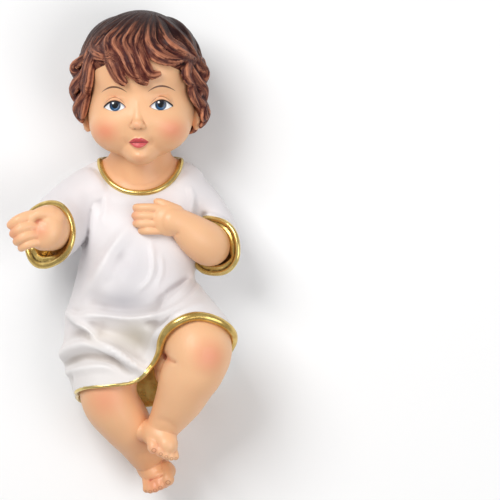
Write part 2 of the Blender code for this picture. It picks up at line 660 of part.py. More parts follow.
def strap(name, ways, lifts, widths, flat=0.62, flutes=5, flute=0.10, steps=22):
    """A lock of hair along directions from the head's middle, lying on the head and ridged lengthwise."""
    rows = smooth_path(np.column_stack([np.asarray(ways, float), lifts, widths]), steps)
    way = unit(rows[:, :3])
    centres = way * (head_radius(way) + rows[:, 3])[:, None]
    radii = rows[:, 4]
    tangent = unit(np.gradient(centres, axis=0))
    across = unit(np.cross(tangent, way))
    over = unit(np.cross(across, tangent))
    sides = 30
    turn = np.linspace(0, 2 * math.pi, sides, endpoint=False)
    profile = 1 + flute * np.cos(flutes * turn)
    rings = []
    for i in range(steps):
        r = radii[i] * profile
        rings.append(centres[i] + (np.cos(turn) * r)[:, None] * across[i] + (np.sin(turn) * r * flat)[:,
                None] * over[i])
    made = loft(name, rings)
    made.data.transform(head_matrix())
    return made


def taper(count, width, tip=0.12, start=0.45, fullest=0.45):
    """Half-widths along a lock that starts at a share of its width, swells and ends in a point."""
    s = np.linspace(0, 1, count)
    rise = start + (1 - start) * np.clip(s / fullest, 0, 1) ** 0.7
    fall = tip + (1 - tip) * np.clip((1 - s) / (1 - fullest), 0, 1) ** 0.75
    return width * np.minimum(rise, fall)


def skull_way(x, y, back=False):
    """The direction from the head's middle to the front (or back) of the skull over x and y."""
    (cx, cy, cz), (rx, ry, rz) = HEAD_FORMS[0]
    inside = max(1 - ((x - cx) / rx) ** 2 - ((y - cy) / ry) ** 2, 0.0)
    z = cz + rz * math.sqrt(inside) * (-1 if back else 1)
    return unit((x, y, z))


CROWN = unit((0.6, 11.5, -4.5))


def swirl(turn_degrees, polar_degrees):
    """A direction at an angle round and away from the crown; 0 is down the back, 90 towards its left ear."""
    down = unit(np.array([0, 0, -1.0]) - CROWN * np.dot([0, 0, -1.0], CROWN))
    aside = np.cross(down, CROWN)
    a, p = math.radians(turn_degrees), math.radians(polar_degrees)
    return CROWN * math.cos(p) + (down * math.cos(a) + aside * math.sin(a)) * math.sin(p)


def flowing_locks(rng):
    """Long wavy locks from the crown over the back and sides."""
    made = []
    for layer, (count, spread, start, end, lift, width, wave) in enumerate((
        (15, 126, 12, 96, 0.75, 2.5, 6.0),
        (14, 112, 46, 118, 1.15, 2.2, 10.0),
        (13, 104, 72, 124, 1.5, 1.9, 13.0),
    )):
        for i in range(count):
            base = -spread + 2 * spread * (i + 0.5) / count + rng.uniform(-2.5, 2.5)
            last = end * (1 - 0.10 * (abs(base) / spread) ** 2) + rng.uniform(-3, 3)
            phase = rng.uniform(0, 2 * math.pi)
            steps = 9
            s = np.linspace(0, 1, steps)
            polar = start + (last - start) * s
            swing = np.sin(phase + s * math.pi * (1.3 + layer * 0.4))
            bend = wave * s**1.2 * swing / np.maximum(np.sin(np.radians(polar)), 0.4)
            ways = [swirl(base + b, p) for b, p in zip(bend, polar)]
            lifts = lift * (0.75 + 0.5 * np.sin(math.pi * s)) - 0.35 * (1 - s)
            made.append(strap("lock", ways, lifts, taper(steps, width * rng.uniform(0.88, 1.1),
                                                         start=0.35)))
    return made


def curl(way, radius, turns, start, lift, width, clockwise=1):
    """A lock coiled on the head round way."""
    way = unit(way)
    aside = unit(np.cross((0, 1, 0.01), way))
    up = np.cross(way, aside)
    size = float(head_radius(way[None])[0])
    count = 5 + round(turns * 8)
    s = np.linspace(0, 1, count)
    angle = math.radians(start) + clockwise * s * turns * 2 * math.pi
    reach = radius * (1 - 0.72 * s) / size
    ways = [unit(way + (aside * math.cos(a) + up * math.sin(a)) * r) for a, r in zip(angle, reach)]
    widths = taper(count, width, tip=0.35, start=0.4, fullest=0.5)
    return strap("curl", ways, lift + 0.7 * s, widths, flat=0.8, flutes=4, steps=26)


FRINGE = [  # half-width, lift, then places from the crown to the tip: x, y and, at the sides, z
    (2.0, 0.85, [(-1.2, 14.7, 1.0), (-6.2, 12.8, 3.0), (-9.6, 9.8, 3.6), (-12.0, 7.4, 3.0),
                 (-13.6, 5.6, 2.0)]),
    (2.0, 1.15, [(-3.0, 14.2, 2.6), (-7.4, 11.0, 5.4), (-9.2, 7.6, 6.6), (-10.2, 4.8, 6.2),
                 (-12.0, 2.6, 4.4), (-13.4, 2.2, 2.4)]),
    (1.8, 1.50, [(-6.2, 10.8, 7.0), (-8.4, 7.6, 7.6), (-9.5, 4.6, 6.9), (-10.4, 1.8, 5.8), (-11.6, -0.6,
            4.2), (-13.2, -1.0, 2.8)]),
    (1.6, 1.55, [(-9.9, 3.2, 6.2), (-10.9, 0.6, 4.8), (-11.0, -2.0, 4.4), (-11.4, -4.0, 3.6), (-11.9, -5.4,
            2.6)]),
    (1.7, 1.65, [(-12.6, 7.0, -0.4), (-13.2, 3.8, 0.4), (-12.6, 0.4, 1.4), (-13.0, -2.6, 0.8),
                 (-12.2, -5.4, 1.6)]),
    (1.8, 1.15, [(-0.6, 14.8), (-5.2, 12.4), (-8.0, 9.8), (-8.2, 8.0), (-6.6, 6.8), (-3.9, 5.8)]),
    (2.0, 1.35, [(0.4, 14.8), (-3.4, 12.0), (-5.2, 9.6), (-4.6, 7.4), (-3.9, 5.0), (-3.0, 2.6),
                 (-1.8, 1.4)]),
    (1.6, 1.60, [(1.0, 14.7), (-2.2, 11.9), (-3.9, 9.0), (-2.6, 6.9), (-1.3, 4.6), (-0.4, 3.0),
                 (0.9, 2.4)]),
    (1.8, 1.45, [(1.6, 14.7), (-0.8, 11.6), (-1.9, 8.9), (-0.6, 6.4), (0.2, 4.2), (0.8, 2.3), (2.2, 1.5)]),
    (1.6, 1.40, [(2.2, 14.6), (0.8, 11.3), (0.2, 8.7), (0.9, 6.2), (1.7, 4.3), (2.8, 3.0), (4.4, 3.2)]),
    (1.9, 1.25, [(2.8, 14.4), (2.4, 11.5), (2.5, 8.9), (3.9, 6.7), (6.0, 5.5), (8.0, 5.3)]),
    (2.1, 1.25, [(3.4, 14.2), (4.9, 11.2), (5.9, 8.8), (7.8, 7.1), (9.8, 6.0), (11.2, 4.6)]),
    (2.1, 1.30, [(3.8, 13.9, 3.0), (7.2, 11.4, 4.6), (9.6, 8.8, 4.4), (11.4, 6.4, 3.4), (12.9, 4.6, 2.0)]),
    (1.4, 1.50, [(6.6, 9.2), (8.8, 6.9), (9.0, 4.7), (8.7, 2.9), (9.7, 1.2), (10.5, -0.7)]),
    (1.3, 1.60, [(10.4, 5.0, 5.4), (11.2, 2.6, 4.8), (10.6, 0.4, 5.6), (10.7, -1.8, 5.2),
                 (11.6, -3.6, 3.8)]),
    (1.5, 1.55, [(12.4, 5.4, 0.6), (12.9, 2.0, 1.2), (12.2, -0.8, 2.4), (12.4, -3.2, 1.8),
                 (13.0, -5.2, 0.4), (12.0, -7.4, 0.2)]),
]
CURLS = [  # place, radius, turns, angle it starts at, lift and half-width
    ((-12.6, 5.4, 0.2), 1.9, 0.9, 40, 1.2, 1.25), ((-12.4, 0.4, 0.4), 2.1, 0.95, 200, 1.4, 1.25),
    ((-12.2, -3.4, 1.0), 1.8, 0.9, 80, 1.7, 1.10), ((-12.6, 6.6, -1.6), 2.2, 0.8, 20, 1.3, 1.3),
    ((-12.6, 1.8, -2.4), 2.4, 0.9, 60, 2.2, 1.3), ((-12.2, -2.2, -3.2), 2.3, 0.9, 10, 1.6, 1.3),
    ((-11.4, -5.8, -4.6), 2.2, 0.9, 140, 1.5, 1.2), ((-9.8, -8.0, -7.4), 2.3, 0.9, 60, 1.4, 1.2),
    ((11.8, 5.2, 2.6), 1.7, 1.0, 150, 1.3, 1.05), ((12.2, 1.9, 1.4), 1.8, 0.95, 30, 1.4, 1.15),
    ((11.9, -1.8, 1.8), 1.6, 0.95, 110, 1.3, 1.0), ((12.4, -4.2, 1.6), 1.8, 0.9, 60, 2.0, 1.1),
    ((12.6, 3.6, -0.8), 2.2, 0.9, 10, 1.5, 1.25), ((12.6, -0.6, -1.8), 2.3, 0.9, 80, 1.6, 1.3),
    ((12.0, -4.8, -3.0), 2.3, 0.9, 30, 1.6, 1.25), ((11.2, -7.2, -5.0), 2.2, 0.9, 120, 1.5, 1.2),
    ((9.2, -8.8, -8.2), 2.2, 0.9, 60, 1.4, 1.2), ((5.6, -9.4, -9.8), 2.2, 0.9, 0, 1.3, 1.2),
    ((1.6, -9.6, -10.6), 2.2, 0.9, 90, 1.3, 1.2), ((-2.6, -9.6, -10.4), 2.2, 0.9, 200, 1.3, 1.2),
    ((-6.4, -9.0, -9.4), 2.2, 0.9, 20, 1.3, 1.2),
]


SIDE_LOCKS = [  # half-width, then x, y, z over the head and how far the lock stands off it
    (1.75, [(-8.6, 10.6, 4.6, 0.6), (-11.4, 8.0, 3.6, 0.9), (-13.2, 6.6, 2.4, 1.7), (-14.0, 5.2, 1.6, 2.7),
            (-13.6, 3.8, 2.2, 2.6), (-12.4, 3.4, 3.8, 1.8)]),
    (1.85, [(-9.4, 8.2, 6.6, 0.9), (-10.4, 5.4, 6.2, 1.2), (-11.8, 3.2, 4.8, 1.6), (-13.6, 1.8, 3.0, 2.4),
            (-14.4, 0.2, 1.8, 3.1), (-14.0, -1.6, 1.8, 2.9), (-12.6, -2.4, 3.4, 2.0)]),
    (1.7, [(-10.4, 2.6, 6.0, 1.2), (-11.2, -0.2, 5.2, 1.5), (-12.6, -2.2, 3.8, 2.1), (-13.6, -3.8, 2.0,
            2.4),
           (-13.0, -5.4, 1.8, 1.9), (-11.6, -6.0, 3.0, 1.4)]),
    (1.75, [(8.8, 10.0, 4.8, 0.7), (11.2, 7.4, 3.8, 1.0), (12.8, 5.4, 2.6, 1.5), (14.0, 3.6, 1.6, 2.3),
            (13.6, 2.0, 2.4, 2.3), (12.2, 1.8, 4.0, 1.7)]),
    (1.6, [(9.8, 6.2, 6.4, 1.0), (10.8, 3.6, 5.6, 1.4), (12.2, 1.6, 4.0, 1.8), (13.6, 0.2, 2.4, 2.4),
           (14.0, -1.6, 1.6, 2.5), (13.0, -3.0, 2.6, 2.0), (11.8, -2.8, 4.0, 1.6)]),
    (1.6, [(10.6, 1.2, 5.6, 1.4), (11.6, -1.6, 4.4, 1.6), (12.8, -3.4, 3.0, 2.1), (13.8, -5.0, 1.4, 2.6),
           (13.2, -6.8, 0.8, 2.3), (12.0, -7.8, 1.8, 1.8)]),
    (1.5, [(-13.2, 3.2, -1.6, 1.6), (-13.8, 0.6, -0.8, 2.0), (-13.4, -2.0, -0.4, 2.2), (-13.2, -4.6, 0.2,
            1.8),
           (-12.2, -6.4, 0.6, 1.2)]),
    (1.5, [(13.2, 2.2, -1.6, 1.6), (13.8, -0.6, -0.8, 2.0), (13.4, -3.6, -0.6, 2.0), (13.2, -6.2, -0.4,
            1.8),
           (11.8, -8.6, -0.4, 1.4)]),
]


def head_way(place):
    return unit(place) if len(place) == 3 else skull_way(*place)


def hair_parts(rng):
    made = [hair_cap()]
    made += flowing_locks(rng)
    for width, lift, places in FRINGE:
        n = len(places)
        ways = [head_way(p) for p in places]
        made.append(strap("fringe", ways, lift * np.linspace(0.55, 1.0, n), taper(n, width, start=0.55,
                tip=0.32, fullest=0.6)))
    for width, places in SIDE_LOCKS:
        ways = [unit(p[:3]) for p in places]
        widths = taper(len(places), width, start=0.4, tip=0.3, fullest=0.55)
        made.append(strap("side_lock", ways, [p[3] for p in places], widths, flat=0.66, flutes=4,
                          flute=0.12))
    for place, radius, turns, start, lift, width in CURLS:
        side = 1 if place[0] > 0 else -1
        made.append(curl(place, radius, turns, start, lift, width, clockwise=side))
    return made


# Arms, legs and neck

RIGHT_TOES = [  # tip and radius, from the big toe
    (8.3, -47.7, 11.2, 1.40), (6.7, -48.9, 11.3, 1.06), (5.6, -49.5, 11.1, 0.98), (4.6, -49.8, 10.7, 0.90),
    (3.8, -49.8, 10.2, 0.80),
]
LEFT_TOES = [
    (5.6, -40.6, 19.9, 1.34), (7.0, -41.5, 20.3, 1.02), (8.15, -42.1, 20.2, 0.95), (9.2, -42.5, 19.8, 0.88),
    (10.1, -42.5, 19.2, 0.80),
]


def skin_groups():
    edge = torso_rings(96)[1][0]
    middle = edge.mean(0)
    lift = unit((0, 0.82, 0.57))
    breast = [middle + (edge - middle) * share + lift * up
              for share, up in ((0.95, -3.2), (1.0, -2.2), (1.01, -1.2), (0.99, -0.2), (0.94, 0.30),
                                (0.86, 0.8),
                                (0.78, 1.6), (0.72, 2.8), (0.62, 4.4))]
    neck = [
        sweep("neck", [(2.8, 24.0, 11.6, 6.2), (2.7, 18.5, 11.0, 6.3), (2.6, 13.5, 9.2, 6.8)], sides=32),
        loft("breast", breast),
    ]
    right_arm = [
        sweep("forearm", [(-14.6, 4.4, 14.6, 3.8), (-15.5, 4.2, 19.0, 4.35), (-16.1, 4.2, 24.2, 4.3)],
              sides=36),
        blob("palm", (-16.5, 4.3, 25.6), (4.0, 4.5, 3.2), (0, -20, -16)),
        blob("thumb_mound", (-15.6, 6.6, 25.9), (3.2, 2.6, 2.2), (0, -12, -12)),
        blob("palm_front", (-18.0, 4.4, 26.7), (2.6, 3.4, 1.7), (0, -22, -14)),
        sweep("thumb", [(-15.4, 7.5, 26.6, 1.7), (-17.2, 7.4, 27.4, 1.45), (-18.6, 6.8, 27.8, 1.2),
                        (-19.3, 6.2, 27.9, 1.0)],
              sides=18),
        sweep("index", [(-17.0, 7.0, 26.2, 1.30), (-19.6, 6.9, 27.5, 1.18), (-22.0, 6.1, 28.2, 1.06),
                        (-23.4, 5.1, 27.6, 0.94)],
              sides=18),
        sweep("middle", [(-17.0, 5.0, 26.6, 1.20), (-19.8, 4.9, 28.0, 1.14), (-21.8, 4.1, 28.4, 1.04),
                         (-22.9, 3.3, 27.6, 0.92)],
              sides=18),
        sweep("ring", [(-16.6, 3.3, 26.5, 1.15), (-19.4, 3.1, 28.0, 1.10), (-21.3, 2.4, 28.3, 1.02),
                       (-22.2, 1.7, 27.5, 0.90)],
              sides=18),
        sweep("little", [(-16.2, 1.7, 26.1, 1.10), (-18.7, 1.5, 27.6, 1.04), (-20.4, 0.9, 27.8, 0.94),
                         (-21.3, 0.4, 27.0, 0.82)],
              sides=18),
    ]
    left_arm = [
        sweep("forearm", [(17.8, 0.8, 13.0, 3.8), (16.9, 1.1, 16.2, 4.45), (14.6, 2.7, 18.6, 4.2),
                          (12.5, 4.4, 19.8, 3.55),
                          (10.9, 5.6, 20.5, 2.95), (9.2, 6.1, 20.9, 2.85)], sides=36),
        blob("hand_back", (8.9, 6.2, 20.8), (3.9, 3.4, 2.2), (0, 8, -12)),
        sweep("thumb", [(10.4, 7.8, 20.4, 1.55), (8.3, 9.0, 20.7, 1.2), (6.9, 9.8, 20.7, 0.86),
                        (6.2, 10.0, 20.5, 0.66)], sides=18),
    ]
    for y, tip, slant, r in ((8.6, 1.5, 0.1, 0.90), (7.05, 1.3, 0.0, 0.92), (5.5, 1.5, -0.05, 0.90),
                             (4.05, 2.6, -0.1, 0.84)):
        left_arm.append(sweep("finger", [(8.4, y, 20.7, r * 1.02), (5.2, y + slant, 21.5, r),
                                         (tip + 1.2, y + slant, 21.1, r * 0.98),
                                         (tip + 0.5, y + slant, 20.2, r * 0.92)], sides=18))
    right_leg = [
        sweep("leg", RIGHT_LEG, sides=48, steps=70),
        sweep("foot", [(4.1, -43.0, 5.2, 3.1), (5.1, -45.1, 6.8, 3.6), (6.3, -46.6, 8.6, 3.2),
                       (6.9, -47.4, 9.6, 2.6)], sides=28,
              up=(0.2, 0.8, 1), flat=0.85),
        blob("heel", (3.9, -44.6, 3.9), (2.8, 2.8, 2.7)),
        blob("ball", (8.1, -46.1, 9.2), (1.9, 1.9, 1.8)),
    ]
    for x, y, z, r in RIGHT_TOES:
        right_leg.append(sweep("toe", [(x - 0.2, y + 2.4, z - 1.8, r), (x, y + 0.7, z - 0.2, r * 0.94),
                                       (x + 0.05, y, z, r)],
                               sides=18, steps=8))
    left_leg = [
        sweep("leg", LEFT_LEG, sides=48, steps=76),
        sweep("knee_fold", [(10.2, -14.0, 14.0, 5.4), (9.9, -20.0, 17.6, 4.6), (9.2, -25.2, 18.2, 3.5)],
              sides=32),
        blob("knee_hollow", (7.8, -21.8, 18.0), (2.6, 4.6, 4.2)),
        blob("heel", (3.3, -37.4, 15.2), (2.5, 2.3, 2.6)),
        blob("instep", (7.6, -37.2, 17.2), (2.6, 2.6, 2.4)),
        sweep("foot", [(4.4, -37.4, 15.6, 2.5), (6.2, -37.9, 17.2, 3.1), (7.6, -38.9, 18.4, 2.9),
                       (8.3, -40.0, 19.2, 2.4)], sides=28),
        blob("ball", (6.1, -39.8, 18.6), (1.8, 1.7, 1.6)),
    ]
    for x, y, z, r in LEFT_TOES:
        left_leg.append(sweep("toe", [(x - 0.6, y + 2.2, z - 1.6, r), (x - 0.1, y + 0.6, z - 0.1,
                r * 0.94), (x, y, z, r)],
                              sides=18, steps=8))
    return neck, right_arm, left_arm, right_leg, left_leg


SKIN_CREASES = {  # points over the front of the figure, then half-width and height
    "left_leg": [
        ([(7.2, -21.0), (8.8, -22.4), (10.8, -23.2)], 0.55, -0.36),
        ([(5.6, -34.8), (8.2, -35.2), (10.4, -36.8)], 0.7, -0.20),
    ],
    "right_leg": [
        ([(1.6, -42.8), (4.0, -42.2), (6.4, -42.6)], 0.8, -0.22),
        ([(4.2, -48.0), (6.2, -47.2), (7.6, -46.6)], 0.25, -0.28),
    ],
    "left_arm": [([(10.2, 2.9), (10.9, 3.7)], 0.45, -0.16)],
    "right_arm": [([(-18.8, 6.2), (-17.0, 5.6), (-14.4, 4.3)], 0.9, -0.30)],
}


def creased(made, strokes):
    points = points_of(made)
    for path, width, height in strokes:
        points = crease(points, normals_of(made), path, width, height, 1)
    set_points(made, points)
    return made


def surfaces():
    rng = np.random.default_rng(7)
    white, gilt = robe_parts()
    robe = fuse("robe", white, ROBE_CELL, smooth=9)
    gilt = [fuse("gilt", gilt, GILT_CELL, smooth=3)]
    neck, right_arm, left_arm, right_leg, left_leg = skin_groups()
    skin = [
        fuse("neck", neck, NECK_CELL, 5),
        creased(fuse("right_arm", right_arm, ARM_CELL, 8), SKIN_CREASES["right_arm"]),
        creased(fuse("left_arm", left_arm, ARM_CELL, 4), SKIN_CREASES["left_arm"]),
        creased(fuse("right_leg", right_leg, LEG_CELL, 5), SKIN_CREASES["right_leg"]),
        creased(fuse("left_leg", left_leg, LEG_CELL, 5), SKIN_CREASES["left_leg"]),
        fuse("head", [head_part()], HEAD_CELL, 4),
        fuse("ears", [ear_parts()], EAR_CELL, 3),
    ]
    hair = fuse("hair", hair_parts(rng), HAIR_CELL, 2)
    return robe, gilt, skin, hair


# The one cast piece

def solid():
    robe, gilt, skin, hair = surfaces()
    made = fuse("figurine", [robe, *gilt, *skin, hair], SOLID_CELL, smooth=1)
    made.data.transform(Matrix.Diagonal((UNIT, UNIT, UNIT, 1)))
    thin = made.modifiers.new("Decimate", "DECIMATE")
    made.data.calc_loop_triangles()
    thin.ratio = FACES / len(made.data.loop_triangles)
    made = applied(made)
    work = bmesh.new()
    work.from_mesh(made.data)
    low = REST * UNIT
    everything = [*work.verts, *work.edges, *work.faces]
    bmesh.ops.bisect_plane(work, geom=everything, plane_co=(0, 0, low), plane_no=(0, 0, -1),
                           clear_outer=True)
    bmesh.ops.holes_fill(work, edges=[e for e in work.edges if e.is_boundary], sides=0)
    bmesh.ops.recalc_face_normals(work, faces=work.faces)
    co = np.array([v.co[:] for v in work.verts])
    middle = (co.max(0) + co.min(0)) / 2
    bmesh.ops.translate(work, verts=work.verts, vec=(-middle[0], -middle[1], -low))
    work.to_mesh(made.data)
    work.free()
    return made


def paint():
    material = bpy.data.materials.new("painted_resin")
    material.use_nodes = True
    shader = material.node_tree.nodes["Principled BSDF"]
    shader.inputs["Base Color"].default_value = (0.78, 0.70, 0.62, 1)
    shader.inputs["Roughness"].default_value = 0.38
    return material


figurine = solid()
figurine.data.materials.clear()
figurine.data.materials.append(paint())
baby = bpy.data.collections.new("baby_jesus_figurine")
bpy.context.scene.collection.children.link(baby)
for holder in list(figurine.users_collection):
    holder.objects.unlink(figurine)
baby.objects.link(figurine)
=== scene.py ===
"""A cast and hand-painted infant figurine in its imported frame, lit as in a plain studio."""
import json
import math

import bmesh
import bpy
import numpy as np
from mathutils import Matrix, Vector
from mathutils.kdtree import KDTree

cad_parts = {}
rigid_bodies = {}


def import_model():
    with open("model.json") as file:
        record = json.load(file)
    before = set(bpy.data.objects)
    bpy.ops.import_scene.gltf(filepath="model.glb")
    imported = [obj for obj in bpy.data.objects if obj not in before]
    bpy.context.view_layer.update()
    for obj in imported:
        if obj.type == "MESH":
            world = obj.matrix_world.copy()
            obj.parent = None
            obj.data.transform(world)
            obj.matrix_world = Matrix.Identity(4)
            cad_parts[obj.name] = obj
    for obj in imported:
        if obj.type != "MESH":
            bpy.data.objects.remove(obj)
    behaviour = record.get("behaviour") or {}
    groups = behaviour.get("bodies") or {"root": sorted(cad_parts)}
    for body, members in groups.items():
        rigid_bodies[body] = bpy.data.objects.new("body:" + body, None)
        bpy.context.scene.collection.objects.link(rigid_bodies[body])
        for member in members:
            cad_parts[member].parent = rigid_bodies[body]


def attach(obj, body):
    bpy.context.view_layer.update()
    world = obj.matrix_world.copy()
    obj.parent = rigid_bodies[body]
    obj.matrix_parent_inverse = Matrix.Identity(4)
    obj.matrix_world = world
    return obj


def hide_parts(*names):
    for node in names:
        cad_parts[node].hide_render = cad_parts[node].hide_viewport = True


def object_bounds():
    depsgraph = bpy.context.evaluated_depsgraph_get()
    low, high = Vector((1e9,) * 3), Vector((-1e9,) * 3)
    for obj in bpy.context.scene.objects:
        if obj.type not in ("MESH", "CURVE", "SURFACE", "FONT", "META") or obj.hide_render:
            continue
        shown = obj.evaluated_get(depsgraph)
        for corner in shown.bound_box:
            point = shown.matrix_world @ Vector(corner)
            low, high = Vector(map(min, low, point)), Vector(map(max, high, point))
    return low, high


LENGTH = 0.180  # crown to toes, as it lies
UNIT = LENGTH / 100  # places and radii below are in this unit, hundredths of the length
SHIFT = Vector((0.2358, 0.4667, -0.25)) * UNIT  # from the design's origin to the frame's
WALL = 0.0017 / UNIT  # thickness of the robe's cast edge
RIM = 0.0013 / UNIT  # radius of the gilt bead along each edge of the robe
ROBE_CELL = 0.00050 / UNIT  # cell sizes of the fused surfaces
GILT_CELL = 0.00034 / UNIT
NECK_CELL = 0.00063 / UNIT
ARM_CELL = 0.00029 / UNIT
LEG_CELL = 0.00032 / UNIT
HEAD_CELL = 0.00027 / UNIT
EAR_CELL = 0.00036 / UNIT
HAIR_CELL = 0.00031 / UNIT
BALL_DETAIL, SKULL_DETAIL = 4, 6  # how often the faces of a small ball and of the head are divided
BEAD_SIDES, LOCK_SIDES = 12, 30
ROBE_SIDES, ROBE_RINGS = 180, 96  # points round the robe, and rings from its neckline to its hem
CUFF_SIDES, CUFF_RINGS = 96, 44
TRIANGLES = {"robe": 35000, "gilt": 22000, "skin": 74000, "hair": 65000}  # what each paint's surface may use
RELIEF_ROUNDS = {"relief_fine": 6, "relief_broad": 60}  # how far each measure of relief looks round a point


# Paths, rings and simple forms

def smooth_path(points, count):
    """count points on a smooth curve through points; further columns, such as a radius, go along."""
    p = np.array(points, float)
    p = np.vstack([2 * p[0] - p[1], p, 2 * p[-1] - p[-2]])
    t = np.linspace(0, 1, 24, endpoint=False)[:, None]
    spans = []
    for a, b, c, d in zip(p, p[1:], p[2:], p[3:]):
        bend, twist = 2 * a - 5 * b + 4 * c - d, 3 * b - a - 3 * c + d
        spans.append(0.5 * (2 * b + (c - a) * t + bend * t**2 + twist * t**3))
    fine = np.vstack([*spans, p[-2][None]])
    along = np.concatenate([[0], np.cumsum(np.linalg.norm(np.diff(fine[:, :3], axis=0), axis=1))])
    at = np.linspace(0, along[-1], count)
    return np.column_stack([np.interp(at, along, column) for column in fine.T])


def unit(v):
    v = np.asarray(v, float)
    return v / np.maximum(np.linalg.norm(v, axis=-1, keepdims=True), 1e-9)


def placed(name, data):
    """A new object of the scene."""
    made = bpy.data.objects.new(name, data)
    bpy.context.scene.collection.objects.link(made)
    return made


def mesh_object(name, points, faces):
    mesh = bpy.data.meshes.new(name)
    mesh.from_pydata([tuple(p) for p in points], [], faces)
    work = bmesh.new()
    work.from_mesh(mesh)
    bmesh.ops.recalc_face_normals(work, faces=work.faces)
    work.to_mesh(mesh)
    work.free()
    return placed(name, mesh)


def grid_faces(count, sides, closed=False):
    """Faces between rings of equally many points; closed also joins the last ring to the first."""
    faces = []
    for r in range(count if closed else count - 1):
        after = (r + 1) % count
        for s in range(sides):
            n = (s + 1) % sides
            faces.append((r * sides + s, r * sides + n, after * sides + n, after * sides + s))
    return faces


def loft(name, rings):
    """A closed skin over rings of equally many points, with a flat cap at each end."""
    rings = np.asarray(rings, float)
    count, sides = rings.shape[:2]
    caps = [tuple(range(sides))[::-1], tuple((count - 1) * sides + s for s in range(sides))]
    return mesh_object(name, rings.reshape(-1, 3), grid_faces(count, sides) + caps)


def circle(sides):
    """The angles of points spaced evenly round a circle."""
    return np.linspace(0, 2 * math.pi, sides, endpoint=False)


def ring(centre, across, up, radius_across, radius_up, sides):
    turn = circle(sides)[:, None]
    return centre + np.cos(turn) * across * radius_across + np.sin(turn) * up * radius_up


def sweep(name, stations, sides=20, steps=18, up=(0.3, 0.2, 1), flat=1.0):
    """A round-ended limb or finger through stations of (x, y, z, radius); flat below 1 thins it along up."""
    path = smooth_path(stations, steps)
    centres, radii = path[:, :3], path[:, 3]
    tangent = unit(np.gradient(centres, axis=0))
    across = unit(np.cross(tangent, np.array(up, float)))
    over = unit(np.cross(across, tangent))
    rings = []
    cap = np.radians([12, 32, 55, 75])
    order = [(0, -math.cos(a), math.sin(a)) for a in cap]
    order += [(i, 0.0, 1.0) for i in range(steps)]
    order += [(steps - 1, math.cos(a), math.sin(a)) for a in cap[::-1]]
    for i, ahead, share in order:
        centre, wide = centres[i] + tangent[i] * radii[i] * ahead, radii[i] * share
        rings.append(ring(centre, across[i], over[i], wide, wide * flat, sides))
    return loft(name, rings)


def rotation(degrees):
    """A turn about x, then y, then z."""
    about_x, about_y, about_z = (Matrix.Rotation(math.radians(a), 4, axis) for a, axis in zip(degrees, "XYZ"))
    return about_z @ about_y @ about_x


def ball(name, detail):
    bpy.ops.mesh.primitive_ico_sphere_add(subdivisions=detail, radius=1)
    made = bpy.context.object
    made.name = made.data.name = name
    return made


def blob(name, centre, radii, turn=(0, 0, 0)):
    """An ellipsoid; turn is in degrees about x, y and z."""
    made = ball(name, BALL_DETAIL)
    made.data.transform(Matrix.Translation(centre) @ rotation(turn) @ Matrix.Diagonal((*radii, 1)))
    return made


def points_of(made, what="co"):
    values = np.empty(len(made.data.vertices) * 3, np.float32)
    made.data.vertices.foreach_get(what, values)
    return values.reshape(-1, 3).astype(float)


def normals_of(made):
    return points_of(made, "normal")


def set_points(made, points):
    made.data.vertices.foreach_set("co", points.astype(np.float32).ravel())
    made.data.update()


def applied(made):
    """The object with its modifiers applied."""
    graph = bpy.context.evaluated_depsgraph_get()
    mesh = bpy.data.meshes.new_from_object(made.evaluated_get(graph))
    made.modifiers.clear()
    old, made.data = made.data, mesh
    bpy.data.meshes.remove(old)
    return made


def join(name, pieces):
    """Pieces in one mesh, still separate shells."""
    work = bmesh.new()
    for piece in pieces:
        work.from_mesh(piece.data)
        bpy.data.objects.remove(piece)
    mesh = bpy.data.meshes.new(name)
    work.to_mesh(mesh)
    work.free()
    return placed(name, mesh)


def fuse(name, pieces, voxel, smooth):
    """One closed skin round overlapping pieces, with the creases where they meet smoothed."""
    made = join(name, pieces)
    remesh = made.modifiers.new("Remesh", "REMESH")
    remesh.mode = "VOXEL"
    remesh.voxel_size = voxel
    remesh.use_smooth_shade = True
    soften = made.modifiers.new("Smooth", "SMOOTH")
    soften.factor = 0.5
    soften.iterations = smooth
    return applied(made)


# Robe

def superellipse(turn, power):
    c, s = np.cos(turn), np.sin(turn)
    return np.sign(c) * np.abs(c) ** (2 / power), np.sign(s) * np.abs(s) ** (2 / power)


